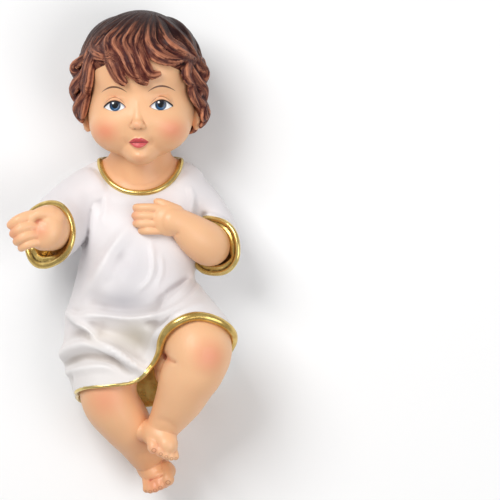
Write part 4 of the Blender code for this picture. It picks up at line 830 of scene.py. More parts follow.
CURLS = [  # place, radius, turns, angle it starts at, lift and half-width
    ((-12.6, 5.4, 0.2), 1.9, 0.9, 40, 1.2, 1.25), ((-12.4, 0.4, 0.4), 2.1, 0.95, 200, 1.4, 1.25),
    ((-12.2, -3.4, 1.0), 1.8, 0.9, 80, 1.7, 1.10), ((-12.6, 6.6, -1.6), 2.2, 0.8, 20, 1.3, 1.3),
    ((-12.6, 1.8, -2.4), 2.4, 0.9, 60, 2.2, 1.3), ((-12.2, -2.2, -3.2), 2.3, 0.9, 10, 1.6, 1.3),
    ((-11.4, -5.8, -4.6), 2.2, 0.9, 140, 1.5, 1.2), ((-9.8, -8.0, -7.4), 2.3, 0.9, 60, 1.4, 1.2),
    ((11.8, 5.2, 2.6), 1.7, 1.0, 150, 1.3, 1.05), ((12.2, 1.9, 1.4), 1.8, 0.95, 30, 1.4, 1.15),
    ((11.9, -1.8, 1.8), 1.6, 0.95, 110, 1.3, 1.0), ((12.4, -4.2, 1.6), 1.8, 0.9, 60, 2.0, 1.1),
    ((12.6, 3.6, -0.8), 2.2, 0.9, 10, 1.5, 1.25), ((12.6, -0.6, -1.8), 2.3, 0.9, 80, 1.6, 1.3),
    ((12.0, -4.8, -3.0), 2.3, 0.9, 30, 1.6, 1.25), ((11.2, -7.2, -5.0), 2.2, 0.9, 120, 1.5, 1.2),
    ((9.2, -8.8, -8.2), 2.2, 0.9, 60, 1.4, 1.2), ((5.6, -9.4, -9.8), 2.2, 0.9, 0, 1.3, 1.2),
    ((1.6, -9.6, -10.6), 2.2, 0.9, 90, 1.3, 1.2), ((-2.6, -9.6, -10.4), 2.2, 0.9, 200, 1.3, 1.2),
    ((-6.4, -9.0, -9.4), 2.2, 0.9, 20, 1.3, 1.2),
]


SIDE_LOCKS = [  # half-width, then x, y, z over the head and how far the lock stands off it
    (1.75, [(-8.6, 10.6, 4.6, 0.6), (-11.4, 8.0, 3.6, 0.9), (-13.2, 6.6, 2.4, 1.7), (-14.0, 5.2, 1.6, 2.7),
            (-13.6, 3.8, 2.2, 2.6), (-12.4, 3.4, 3.8, 1.8)]),
    (1.85, [(-9.4, 8.2, 6.6, 0.9), (-10.4, 5.4, 6.2, 1.2), (-11.8, 3.2, 4.8, 1.6), (-13.6, 1.8, 3.0, 2.4),
            (-14.4, 0.2, 1.8, 3.1), (-14.0, -1.6, 1.8, 2.9), (-12.6, -2.4, 3.4, 2.0)]),
    (1.7, [(-10.4, 2.6, 6.0, 1.2), (-11.2, -0.2, 5.2, 1.5), (-12.6, -2.2, 3.8, 2.1), (-13.6, -3.8, 2.0, 2.4),
           (-13.0, -5.4, 1.8, 1.9), (-11.6, -6.0, 3.0, 1.4)]),
    (1.75, [(8.8, 10.0, 4.8, 0.7), (11.2, 7.4, 3.8, 1.0), (12.8, 5.4, 2.6, 1.5), (14.0, 3.6, 1.6, 2.3),
            (13.6, 2.0, 2.4, 2.3), (12.2, 1.8, 4.0, 1.7)]),
    (1.6, [(9.8, 6.2, 6.4, 1.0), (10.8, 3.6, 5.6, 1.4), (12.2, 1.6, 4.0, 1.8), (13.6, 0.2, 2.4, 2.4),
           (14.0, -1.6, 1.6, 2.5), (13.0, -3.0, 2.6, 2.0), (11.8, -2.8, 4.0, 1.6)]),
    (1.6, [(10.6, 1.2, 5.6, 1.4), (11.6, -1.6, 4.4, 1.6), (12.8, -3.4, 3.0, 2.1), (13.8, -5.0, 1.4, 2.6),
           (13.2, -6.8, 0.8, 2.3), (12.0, -7.8, 1.8, 1.8)]),
    (1.5, [(-13.2, 3.2, -1.6, 1.6), (-13.8, 0.6, -0.8, 2.0), (-13.4, -2.0, -0.4, 2.2), (-13.2, -4.6, 0.2, 1.8),
           (-12.2, -6.4, 0.6, 1.2)]),
    (1.5, [(13.2, 2.2, -1.6, 1.6), (13.8, -0.6, -0.8, 2.0), (13.4, -3.6, -0.6, 2.0), (13.2, -6.2, -0.4, 1.8),
           (11.8, -8.6, -0.4, 1.4)]),
]


def head_way(place):
    return unit(place) if len(place) == 3 else skull_way(*place)


def hair_parts(rng):
    made = [hair_cap()]
    made += flowing_locks(rng)
    for width, lift, places in FRINGE:
        ways = [head_way(p) for p in places]
        widths = taper(len(places), width, start=0.55, tip=0.32, fullest=0.6)
        made.append(strap("fringe", ways, lift * np.linspace(0.55, 1.0, len(places)), widths))
    for width, places in SIDE_LOCKS:
        ways = [unit(p[:3]) for p in places]
        widths = taper(len(places), width, start=0.4, tip=0.3, fullest=0.55)
        made.append(strap("side_lock", ways, [p[3] for p in places], widths, flat=0.66, flutes=4, flute=0.12))
    for place, radius, turns, start, lift, width in CURLS:
        side = 1 if place[0] > 0 else -1
        made.append(curl(place, radius, turns, start, lift, width, clockwise=side))
    return made


# Arms, legs and neck

RIGHT_TOES = [  # tip and radius, from the big toe
    (8.3, -47.7, 11.2, 1.40), (6.7, -48.9, 11.3, 1.06), (5.6, -49.5, 11.1, 0.98), (4.6, -49.8, 10.7, 0.90),
    (3.8, -49.8, 10.2, 0.80),
]
LEFT_TOES = [
    (5.6, -40.6, 19.9, 1.34), (7.0, -41.5, 20.3, 1.02), (8.15, -42.1, 20.2, 0.95), (9.2, -42.5, 19.8, 0.88),
    (10.1, -42.5, 19.2, 0.80),
]


BREAST = [  # share of the neckline's width and height above it, from the body into the neck
    (0.95, -3.2), (1.0, -2.2), (1.01, -1.2), (0.99, -0.2), (0.94, 0.30), (0.86, 0.8), (0.78, 1.6), (0.72, 2.8),
    (0.62, 4.4),
]
RIGHT_FINGERS = [  # places and radii from the palm to the tip, the thumb first
    [(-15.4, 7.5, 26.6, 1.7), (-17.2, 7.4, 27.4, 1.45), (-18.6, 6.8, 27.8, 1.2), (-19.3, 6.2, 27.9, 1.0)],
    [(-17.0, 7.0, 26.2, 1.30), (-19.6, 6.9, 27.5, 1.18), (-22.0, 6.1, 28.2, 1.06), (-23.4, 5.1, 27.6, 0.94)],
    [(-17.0, 5.0, 26.6, 1.20), (-19.8, 4.9, 28.0, 1.14), (-21.8, 4.1, 28.4, 1.04), (-22.9, 3.3, 27.6, 0.92)],
    [(-16.6, 3.3, 26.5, 1.15), (-19.4, 3.1, 28.0, 1.10), (-21.3, 2.4, 28.3, 1.02), (-22.2, 1.7, 27.5, 0.90)],
    [(-16.2, 1.7, 26.1, 1.10), (-18.7, 1.5, 27.6, 1.04), (-20.4, 0.9, 27.8, 0.94), (-21.3, 0.4, 27.0, 0.82)],
]
LEFT_THUMB = [(10.4, 7.8, 20.4, 1.55), (8.3, 9.0, 20.7, 1.2), (6.9, 9.8, 20.7, 0.86), (6.2, 10.0, 20.5, 0.66)]
LEFT_FINGERS = [  # y, x of the tip, how far y shifts along it and radius, from the index
    (8.6, 1.5, 0.1, 0.90), (7.05, 1.3, 0.0, 0.92), (5.5, 1.5, -0.05, 0.90), (4.05, 2.6, -0.1, 0.84),
]
LEFT_FOREARM = [
    (17.8, 0.8, 13.0, 3.8), (16.9, 1.1, 16.2, 4.45), (14.6, 2.7, 18.6, 4.2), (12.5, 4.4, 19.8, 3.55),
    (10.9, 5.6, 20.5, 2.95), (9.2, 6.1, 20.9, 2.85),
]
RIGHT_FOOT = [(4.1, -43.0, 5.2, 3.1), (5.1, -45.1, 6.8, 3.6), (6.3, -46.6, 8.6, 3.2), (6.9, -47.4, 9.6, 2.6)]
LEFT_FOOT = [(4.4, -37.4, 15.6, 2.5), (6.2, -37.9, 17.2, 3.1), (7.6, -38.9, 18.4, 2.9), (8.3, -40.0, 19.2, 2.4)]


def finger(stations):
    return sweep("finger", stations, sides=18)


def toes(tips, back, middle, end):
    """A toe to each tip and of its radius, through places set off from the tip."""
    made = []
    for x, y, z, r in tips:
        places = [np.add((x, y, z), off) for off in (back, middle, end)]
        rows = [(*p, radius) for p, radius in zip(places, (r, r * 0.94, r))]
        made.append(sweep("toe", rows, sides=18, steps=8))
    return made


def skin_groups():
    """The bare parts of the body, each a list of forms to be fused."""
    edge = torso_rings(CUFF_SIDES)[1][0]
    middle = edge.mean(0)
    lift = unit((0, 0.82, 0.57))
    neck = [
        sweep("neck", [(2.8, 24.0, 11.6, 6.2), (2.7, 18.5, 11.0, 6.3), (2.6, 13.5, 9.2, 6.8)], sides=32),
        loft("breast", [middle + (edge - middle) * share + lift * up for share, up in BREAST]),
    ]
    right_arm = [
        sweep("forearm", [(-14.6, 4.4, 14.6, 3.8), (-15.5, 4.2, 19.0, 4.35), (-16.1, 4.2, 24.2, 4.3)], sides=36),
        blob("palm", (-16.5, 4.3, 25.6), (4.0, 4.5, 3.2), (0, -20, -16)),
        blob("thumb_mound", (-15.6, 6.6, 25.9), (3.2, 2.6, 2.2), (0, -12, -12)),
        blob("palm_front", (-18.0, 4.4, 26.7), (2.6, 3.4, 1.7), (0, -22, -14)),
        *[finger(stations) for stations in RIGHT_FINGERS],
    ]
    left_arm = [
        sweep("forearm", LEFT_FOREARM, sides=36),
        blob("hand_back", (8.9, 6.2, 20.8), (3.9, 3.4, 2.2), (0, 8, -12)),
        finger(LEFT_THUMB),
    ]
    for y, tip, slant, r in LEFT_FINGERS:
        left_arm.append(finger([(8.4, y, 20.7, r * 1.02), (5.2, y + slant, 21.5, r),
                                (tip + 1.2, y + slant, 21.1, r * 0.98), (tip + 0.5, y + slant, 20.2, r * 0.92)]))
    right_leg = [
        sweep("leg", RIGHT_LEG, sides=48, steps=70),
        sweep("foot", RIGHT_FOOT, sides=28, up=(0.2, 0.8, 1), flat=0.85),
        blob("heel", (3.9, -44.6, 3.9), (2.8, 2.8, 2.7)),
        blob("ball", (8.1, -46.1, 9.2), (1.9, 1.9, 1.8)),
        *toes(RIGHT_TOES, (-0.2, 2.4, -1.8), (0, 0.7, -0.2), (0.05, 0, 0)),
    ]
    left_leg = [
        sweep("leg", LEFT_LEG, sides=48, steps=76),
        sweep("knee_fold", [(10.2, -14.0, 14.0, 5.4), (9.9, -20.0, 17.6, 4.6), (9.2, -25.2, 18.2, 3.5)], sides=32),
        blob("knee_hollow", (7.8, -21.8, 18.0), (2.6, 4.6, 4.2)),
        blob("heel", (3.3, -37.4, 15.2), (2.5, 2.3, 2.6)),
        blob("instep", (7.6, -37.2, 17.2), (2.6, 2.6, 2.4)),
        sweep("foot", LEFT_FOOT, sides=28),
        blob("ball", (6.1, -39.8, 18.6), (1.8, 1.7, 1.6)),
        *toes(LEFT_TOES, (-0.6, 2.2, -1.6), (-0.1, 0.6, -0.1), (0, 0, 0)),
    ]
    return neck, right_arm, left_arm, right_leg, left_leg


SKIN_CREASES = {  # points over the front of the figure, then half-width and height
    "left_leg": [
        ([(7.2, -21.0), (8.8, -22.4), (10.8, -23.2)], 0.55, -0.36),
        ([(5.6, -34.8), (8.2, -35.2), (10.4, -36.8)], 0.7, -0.20),
    ],
    "right_leg": [
        ([(1.6, -42.8), (4.0, -42.2), (6.4, -42.6)], 0.8, -0.22),
        ([(4.2, -48.0), (6.2, -47.2), (7.6, -46.6)], 0.25, -0.28),
    ],
    "left_arm": [([(10.2, 2.9), (10.9, 3.7)], 0.45, -0.16)],
    "right_arm": [([(-18.8, 6.2), (-17.0, 5.6), (-14.4, 4.3)], 0.9, -0.30)],
}


def creased(name, pieces, cell, smooth):
    """Pieces fused, with the creases of that part drawn in its skin."""
    made = fuse(name, pieces, cell, smooth)
    points = points_of(made)
    for path, width, height in SKIN_CREASES[name]:
        points = crease(points, normals_of(made), path, width, height, 1)
    set_points(made, points)
    return made


def build():
    """The pieces of each paint."""
    rng = np.random.default_rng(7)
    white, gilt = robe_parts()
    robe = fuse("robe", white, ROBE_CELL, 9)
    gilt = fuse("gilt", gilt, GILT_CELL, 3)
    neck, right_arm, left_arm, right_leg, left_leg = skin_groups()
    skin = [
        fuse("neck", neck, NECK_CELL, 5),
        creased("right_arm", right_arm, ARM_CELL, 8),
        creased("left_arm", left_arm, ARM_CELL, 4),
        creased("right_leg", right_leg, LEG_CELL, 5),
        creased("left_leg", left_leg, LEG_CELL, 5),
        fuse("head", [head_part()], HEAD_CELL, 4),
        fuse("ears", [ear_parts()], EAR_CELL, 3),
    ]
    return {"robe": [robe], "gilt": [gilt], "skin": skin, "hair": [fuse("hair", hair_parts(rng), HAIR_CELL, 2)]}


# Relief, for painted shade in hollows, painted highlights on ridges and the copper brushed on the crests of the hair

def store(made, name, values):
    """Keeps a value at each point of a mesh, for its paint to read."""
    layer = made.data.attributes.new(name, "FLOAT", "POINT")
    layer.data.foreach_set("value", values.astype(np.float32))


def relief(made, rounds, name):
    """Stores how far each point stands above (or below) its surroundings, smoothed over rounds of neighbours."""
    edges = np.empty(len(made.data.edges) * 2, np.int32)
    made.data.edges.foreach_get("vertices", edges)
    a, b = edges.reshape(-1, 2).T
    size = len(made.data.vertices)
    count = np.maximum(np.bincount(a, minlength=size) + np.bincount(b, minlength=size), 1)

    def average(values):
        total = np.bincount(a, values[b], size) + np.bincount(b, values[a], size)
        return 0.5 * values + 0.5 * total / count

    points, normals = points_of(made), normals_of(made)
    soft = points
    for _ in range(rounds):
        soft = np.column_stack([average(c) for c in soft.T])
    stands = ((points - soft) * normals).sum(1)
    store(made, name, average(average(stands)))


def mark_strands(made):
    """Stores where each point of the hair lies across and along the nearest lock."""
    turn = np.array(head_matrix())[:3, :3]
    places = np.vstack([centres for centres, _, _ in STRANDS]) @ turn.T + HEAD_CENTRE
    across = np.vstack([a / r[:, None] for _, a, r in STRANDS]) @ turn.T
    along = []
    for k, (centres, _, _) in enumerate(STRANDS):
        steps = np.linalg.norm(np.diff(centres, axis=0), axis=1)
        along.append(np.concatenate([[0], np.cumsum(steps)]) + LOCK_GAP * k)
    tree = KDTree(len(places))
    for k, place in enumerate(places):
        tree.insert(place, k)
    tree.balance()
    points = points_of(made)
    nearest = np.array([tree.find(p)[1] for p in points])
    store(made, "strand_side", ((points - places[nearest]) * across[nearest]).sum(1))
    store(made, "strand_along", np.concatenate(along)[nearest])


def triangle_count(made):
    made.data.calc_loop_triangles()
    return len(made.data.loop_triangles)


def thinned(made, triangles):
    share = triangles / triangle_count(made)
    if share < 1:
        thin = made.modifiers.new("Decimate", "DECIMATE")
        thin.ratio = share
        made = applied(made)
    return made


# Paint

def design_place(x, y, z):
    """A place of the design, in the frame."""
    return Vector((x * UNIT, y * UNIT, z * UNIT)) + SHIFT


def srgb(*levels):
    """A colour as seen on screen, in the linear values that paint is given in."""
    return tuple(((v / 255 + 0.055) / 1.055) ** 2.4 if v > 10 else v / 255 / 12.92 for v in levels)


class Paint:
    """A material built from short expressions of shader nodes, and coats laid over a first colour."""

    def __init__(self, name, *colour):
        self.material = bpy.data.materials.new(name)
        self.material.use_nodes = True
        self.tree = self.material.node_tree
        self.shader = self.tree.nodes["Principled BSDF"]
        self.place = self.node("TexCoord", {}).outputs["Object"]
        self.colour = srgb(*colour)

    def put(self, value, socket):
        if isinstance(value, bpy.types.NodeSocket):
            self.tree.links.new(value, socket)
        elif isinstance(value, (int, float)) or len(value) == 4 or socket.type == "VECTOR":
            socket.default_value = value
        else:
            socket.default_value = (*value, 1)

    def node(self, kind, inputs, **settings):
        """A shader node, with what goes into its inputs by number or name."""
        made = self.tree.nodes.new("ShaderNode" + kind)
        for name, value in settings.items():
            setattr(made, name, value)
        for key, value in inputs.items():
            self.put(value, made.inputs[key])
        return made

    def math(self, operation, *values):
        return self.node("Math", dict(enumerate(values)), operation=operation).outputs[0]

    def add(self, a, b):
        return self.math("ADD", a, b)

    def less(self, a, b):
        return self.math("SUBTRACT", a, b)

    def times(self, *values):
        product = values[0]
        for value in values[1:]:
            product = self.math("MULTIPLY", product, value)
        return product

    def most(self, *values):
        best = values[0]
        for value in values[1:]:
            best = self.math("MAXIMUM", best, value)
        return best

    def ramp(self, value, low, high, out_low=0.0, out_high=1.0):
        """value taken smoothly from out_low at low to out_high at high."""
        if high < low:
            low, high, out_low, out_high = high, low, out_high, out_low
        inputs = {"Value": value, "From Min": low, "From Max": high, "To Min": out_low, "To Max": out_high}
        return self.node("MapRange", inputs, interpolation_type="SMOOTHSTEP").outputs["Result"]

    def line(self, offset, width, outer=-0.05, inner=0.04):
        """1 where offset is nearer to 0 than width; its edge rises from outer to inner."""
        return self.ramp(self.less(width, self.math("ABSOLUTE", offset)), outer, inner)

    def noise(self, scale, detail=3.0, rough=0.5, vector=None):
        vector = self.place if vector is None else vector
        inputs = {"Vector": vector, "Scale": scale, "Detail": detail, "Roughness": rough}
        return self.node("TexNoise", inputs).outputs["Fac"]

    def clouds(self, scale, detail, low, high, out_low=0.0, out_high=1.0):
        """Soft patches: noise taken smoothly between two values."""
        return self.ramp(self.noise(scale, detail), low, high, out_low, out_high)

    def mix(self, amount, a, b):
        return self.node("Mix", {0: amount, 6: a, 7: b}, data_type="RGBA").outputs[2]

    def coat(self, colour, *shares):
        """Lays a colour, as seen on screen, over what is there, as strongly as the product of shares."""
        self.colour = self.mix(self.times(*shares), self.colour, srgb(*colour))

    def attribute(self, name):
        return self.node("Attribute", {}, attribute_name=name).outputs["Fac"]

    def xyz(self, vector):
        return self.node("SeparateXYZ", {0: vector}).outputs

    def flat(self, x, y):
        return self.node("CombineXYZ", {0: x, 1: y}).outputs[0]

    def head(self):
        """Places in the head's own frame, in the design's unit."""
        inputs = {"Vector": self.place, "Location": design_place(*HEAD_CENTRE),
                  "Rotation": head_matrix().to_euler(), "Scale": (UNIT,) * 3}
        return self.node("Mapping", inputs, vector_type="TEXTURE").outputs[0]

    def vectors(self, operation, *values):
        made = self.node("VectorMath", dict(enumerate(values)), operation=operation)
        return made.outputs["Value" if operation in ("LENGTH", "DISTANCE") else "Vector"]

    def near(self, vector, centre, radii, soft=1.0):
        """1 at centre, falling smoothly to 0 at radii from it."""
        away = self.vectors("DIVIDE", self.vectors("SUBTRACT", vector, centre), radii)
        return self.ramp(self.vectors("LENGTH", away), 1.0, 1.0 - soft)

    def near_place(self, place, reach, soft=1.0):
        """The same round a place of the design; reach is one radius or three."""
        radii = tuple(r * UNIT for r in (reach if isinstance(reach, tuple) else (reach,) * 3))
        return self.near(self.place, design_place(*place), radii, soft)

    def bump(self, height, distance):
        bumped = self.node("Bump", {"Height": height, "Distance": distance}).outputs[0]
        self.put(bumped, self.shader.inputs["Normal"])

    def finish(self, **inputs):
        """The material, with its colour and further inputs of its shader."""
        for name, value in {"Base_Color": self.colour, **inputs}.items():
            self.put(value, self.shader.inputs[name.replace("_", " ")])
        return self.material


def face_paint(p):
    """Eyes, brows, lips and cheeks painted over the skin, in the head's own frame; gives where it is glossy."""
    head = p.head()
    x, y, z = p.xyz(head)
    front = p.ramp(z, 6.0, 8.0)
    mirrored = p.math("ABSOLUTE", x)
    half = p.flat(mirrored, y)

    def disc(cx, cy, rx, ry, soft):
        return p.near(half, (cx, cy, 0), (rx, ry, 1e3), soft)

    def bow_over(middle, reach):
        """1 over the middle of an arc across the face and 0 at its ends."""
        off = p.times(p.less(mirrored, middle), 1 / reach)
        return p.less(1.0, p.times(off, off))

    ex, ey = EYE
    # The opening between the lids: under one arc and over another
    bow = bow_over(ex + 0.05, 2.3)
    below_top = p.less(p.add(ey - 0.42, p.times(bow, 1.22)), y)
    above_bottom = p.less(y, p.less(ey - 0.46, p.times(bow, 0.78)))
    open_eye = p.times(p.ramp(p.math("MINIMUM", below_top, above_bottom), -0.03, 0.05), front)
    blush = p.most(p.times(disc(6.9, -8.0, 4.4, 3.6, 1.0), 0.62),
                   p.times(p.near(head, (0, -6.8, 14), (1.6, 1.4, 3)), 0.25),
                   p.times(p.near(head, (0, -13.8, 10), (2.4, 1.6, 4)), 0.25))
    p.coat((232, 128, 98), blush, front)
    p.coat((214, 142, 104), disc(ex, ey + 0.9, 3.0, 1.9, 0.9), front, 0.28)
    # Brows, each a thin arc thickest at its middle
    brow_bow = bow_over(ex + 0.15, 2.75)
    brow_line = p.add(ey + 2.55, p.times(brow_bow, 1.15))
    brow_width = p.add(0.02, p.times(p.most(brow_bow, 0.0), 0.17))
    brow = p.times(p.line(p.less(y, brow_line), brow_width), p.ramp(brow_bow, 0.0, 0.05))
    p.coat((70, 38, 28), brow, front, 0.88)
    # Crease of the lid
    fold_line = p.add(ey - 0.05, p.times(bow, 1.62))
    fold = p.times(p.line(p.less(y, fold_line), 0.07, -0.06, 0.03), p.ramp(bow, 0.05, 0.3))
    p.coat((122, 70, 50), fold, front, 0.55)
    # Whites, greyed by painted shade under the upper lid, irises, pupils and painted highlights
    white = p.mix(p.ramp(below_top, 0.0, 0.7), srgb(176, 176, 186), srgb(240, 240, 240))
    p.colour = p.mix(open_eye, p.colour, white)
    ix, iy = ex - 0.02, ey - 0.10
    lower_iris = disc(ix, iy - 0.35, 1.25, 1.1, 0.9)
    iris_colour = p.mix(lower_iris, srgb(18, 30, 52), srgb(52, 104, 150))
    p.colour = p.mix(p.times(disc(ix, iy, 1.22, 1.22, 0.10), open_eye), p.colour, iris_colour)
    p.coat((8, 8, 12), disc(ix, iy + 0.05, 0.72, 0.72, 0.14), open_eye)
    # painted highlights: a white dot in each eye
    lights = p.most(*(p.near(head, (middle - 0.42, iy + 0.52, 10), (0.24, 0.24, 1e3), 0.35) for middle in (ix, -ix)))
    p.coat((250, 250, 250), lights, open_eye)
    # Lash lines, the upper one heavier towards the outer corner
    lash_width = p.ramp(mirrored, ex - 2.25, ex + 1.89, 0.10, 0.23)
    lash = p.times(p.line(p.less(below_top, -0.02), lash_width), p.ramp(bow, -0.12, 0.02))
    lower = p.times(p.line(above_bottom, 0.05), p.ramp(bow, -0.02, 0.10), 0.45)
    p.coat((34, 22, 20), p.most(lash, lower), front)
    p.coat((196, 104, 92), disc(ex - 2.1, ey - 0.44, 0.28, 0.22, 0.6), front, 0.7)
    # Lips: an upper one with a dip in the middle, and a fuller lower one
    mouth_bow = bow_over(0.0, 2.05)
    dip = p.times(p.near(half, (0, -9.5, 0), (0.55, 9, 1e3)), 0.16)
    lip_top = p.less(p.add(-10.34, p.times(mouth_bow, 0.98)), dip)
    lip_low = p.less(-10.34, p.times(mouth_bow, 1.22))
    lips = p.math("MINIMUM", p.less(lip_top, y), p.less(y, lip_low))
    lips = p.times(p.ramp(lips, -0.05, 0.09), front)
    lip_colour = p.mix(p.ramp(y, -11.2, -9.6), srgb(214, 84, 92), srgb(196, 58, 74))
    p.colour = p.mix(p.times(lips, 0.93), p.colour, lip_colour)
    part_line = p.add(-10.36, p.times(p.near(half, (0, 0, 0), (1.0, 1e3, 1e3)), -0.06))
    part = p.times(p.line(p.less(y, part_line), 0.07, -0.06, 0.03), p.ramp(mirrored, 2.15, 1.7))
    p.coat((112, 26, 36), part, front, 0.8)
    p.coat((140, 66, 48), disc(0.62, -7.55, 0.34, 0.22, 0.9), front, 0.6)
    return p.most(open_eye, p.times(lips, 0.5))


def skin_paint():
    p = Paint("skin", 244, 194, 149)
    fine, broad = p.attribute("relief_fine"), p.attribute("relief_broad")
    p.coat((237, 180, 134), p.noise(38.0, 2.0))
    # painted shade: the skin darker on the parts of the figure that lie lowest
    p.coat((216, 152, 104), p.ramp(p.xyz(p.place)[2], 0.040, 0.012, 0.0, 0.55))
    # painted shade in broad hollows and in creases, then a painted highlight on ridges
    p.coat((202, 124, 78), p.ramp(broad, -0.02, -0.32, 0.0, 0.60))
    p.coat((178, 94, 66), p.ramp(fine, -0.006, -0.07, 0.0, 0.8))
    p.coat((255, 226, 200), p.ramp(fine, 0.02, 0.10, 0.0, 0.22))
    for place, size, amount in BLUSH:
        p.coat((226, 112, 88), p.near_place(place, size), amount)
    for x, y, z, r in NAILS:
        whole, inner = (p.near_place((x, y, z), size, 0.34) for size in (r, r * 0.72))
        p.coat((140, 66, 42), p.less(whole, inner), 0.6)
    gloss = face_paint(p)
    p.bump(p.add(p.times(p.noise(900.0, 2.0), 0.4), p.noise(160.0, 3.0)), 0.00006)
    rough = p.add(p.clouds(120.0, 3.0, 0.3, 0.7, 0.40, 0.52), p.times(gloss, -0.22))
    return p.finish(Roughness=rough, Subsurface_Weight=0.06, Subsurface_Scale=0.002, Coat_Weight=0.08)


RUBBED = [  # places on the head and how far round them the copper is brushed on more
    ((-9.5, 7.0, 5.0), 5.5), ((-1.5, 5.0, 11.0), 5.0), ((8.5, 9.0, 7.0), 4.0), ((12.5, 1.0, 2.0), 6.0),
    ((-12.8, -1.0, 2.0), 6.0),
]


def hair_paint():
    p = Paint("hair", 26, 8, 9)
    fine, broad = p.attribute("relief_fine"), p.attribute("relief_broad")
    side, along = p.attribute("strand_side"), p.attribute("strand_along")
    head = p.head()
    streak = p.noise(1.0, 3.0, 0.6, p.flat(p.times(side, 2.4), p.times(along, 0.22)))
    hairline = p.noise(1.0, 2.0, 0.5, p.flat(p.times(side, 9.0), p.times(along, 0.35)))
    from_crown = p.vectors("DISTANCE", head, tuple(CROWN * 14))
    away = p.ramp(p.add(from_crown, p.times(streak, 8.0)), 14.0, 26.5)
    p.coat((50, 21, 20), streak)
    warm = p.mix(p.ramp(streak, 0.3, 0.7), srgb(60, 22, 21), srgb(114, 47, 33))
    warm = p.mix(p.clouds(30.0, 2.0, 0.40, 0.62, 0.0, 0.55), warm, srgb(70, 32, 32))
    p.colour = p.mix(p.ramp(away, 0.1, 0.9), p.colour, warm)
    patch = p.clouds(21.0, 2.0, 0.40, 0.58, 0.30, 1.0)
    for place, size in RUBBED:
        patch = p.most(patch, p.times(p.near(head, place, (size,) * 3), 1.5))
    brush = p.times(p.ramp(streak, 0.38, 0.58), p.ramp(away, 0.05, 0.7, 0.12, 1.0))
    ridge = p.ramp(p.add(fine, p.times(p.less(hairline, 0.5), 0.05)), -0.02, 0.045)
    p.coat((216, 144, 108), p.times(ridge, p.times(brush, patch)), 0.92)
    # painted shade in the channels between locks and in the hair's broad hollows
    p.coat((28, 11, 12), p.ramp(fine, -0.004, -0.055, 0.0, 0.85))
    p.coat((24, 12, 12), p.ramp(broad, -0.05, -0.40, 0.0, 0.75))
    p.bump(p.add(p.times(hairline, 0.8), p.times(p.noise(700.0, 3.0), 0.2)), 0.00022)
    return p.finish(Roughness=p.ramp(streak, 0.3, 0.7, 0.36, 0.48), Specular_IOR_Level=0.16)


PAINTED_SHADE_AND_LIGHT = [  # place, reach, strength and colour of the painted shade, in greys and beige, and of one painted highlight in cream, laid over the robe
    ((2.2, -17.6, 21.5), (7.5, 5.2, 7.5), 0.75, (184, 174, 156)),
    ((-0.6, -10.6, 21.5), (9.0, 4.6, 7.0), 0.62, (176, 173, 179)),
    ((0.6, -4.0, 21.0), (7.0, 8.0, 7.0), 0.34, (184, 181, 187)),
    ((-5.0, -17.8, 21.0), (6.0, 3.0, 6.0), 0.25, (244, 232, 214)),
    ((-6.2, -7.2, 21.0), (3.4, 6.0, 6.0), 0.34, (190, 184, 184)),
    ((12.6, -7.6, 20.0), (4.0, 5.0, 7.0), 0.30, (190, 184, 186)),
    ((-9.4, -3.0, 14.0), (3.2, 8.0, 8.0), 0.34, (180, 172, 174)),
    ((-8.8, 7.6, 17.0), (2.8, 6.0, 6.0), 0.34, (186, 180, 184)),
    ((12.8, 7.6, 17.0), (3.0, 6.0, 6.0), 0.30, (188, 182, 186)),
]


def robe_paint():
    p = Paint("robe", 226, 222, 224)
    fine, broad = p.attribute("relief_fine"), p.attribute("relief_broad")
    lower = p.ramp(p.add(p.xyz(p.place)[1], p.times(p.noise(30.0, 2.0), 0.03)), 0.010, -0.035)
    p.coat((231, 227, 228), p.clouds(26.0, 2.0, 0.38, 0.62))
    p.coat((232, 218, 218), p.clouds(60.0, 3.0, 0.50, 0.75, 0.0, 0.35))
    p.coat((231, 225, 219), lower, 0.6)
    # painted shade in broad hollows, greyer above and warmer below
    shade = p.mix(lower, srgb(170, 162, 164), srgb(182, 168, 152))
    p.colour = p.mix(p.ramp(broad, -0.01, -0.34, 0.0, 0.75), p.colour, shade)
    # painted shade in creases, then a painted highlight on ridges
    p.coat((156, 148, 152), p.ramp(fine, -0.006, -0.06, 0.0, 0.4))
    p.coat((244, 241, 240), p.ramp(fine, 0.01, 0.06, 0.0, 0.5))
    # painted shade and one painted highlight, each laid round its place
    for place, reach, amount, colour in PAINTED_SHADE_AND_LIGHT:
        p.coat(colour, p.near_place(place, reach), amount)
    p.bump(p.add(p.times(p.noise(1100.0, 2.0), 0.3), p.noise(240.0, 3.0)), 0.00007)
    return p.finish(Roughness=p.clouds(90.0, 4.0, 0.3, 0.7, 0.46, 0.58), Coat_Weight=0.06, Sheen_Weight=0.15)


def gilt_paint():
    p = Paint("gilt", 196, 160, 82)
    fine = p.attribute("relief_fine")
    worn = p.noise(220.0, 5.0, 0.65)
    p.coat((226, 196, 118), p.ramp(worn, 0.35, 0.7))
    p.coat((150, 112, 42), p.clouds(90.0, 3.0, 0.50, 0.75, 0.0, 0.4))
    # painted highlight on the gilt's ridges, then painted shade in its grooves
    p.coat((252, 236, 166), p.ramp(fine, 0.015, 0.06, 0.0, 0.75))
    p.coat((66, 42, 14), p.ramp(fine, 0.0, -0.045, 0.0, 0.95))
    p.bump(p.add(p.noise(520.0, 4.0, 0.6), p.times(p.noise(120.0, 3.0), 2.5)), 0.00004)
    return p.finish(Metallic=0.8, Roughness=p.ramp(worn, 0.3, 0.75, 0.28, 0.20))


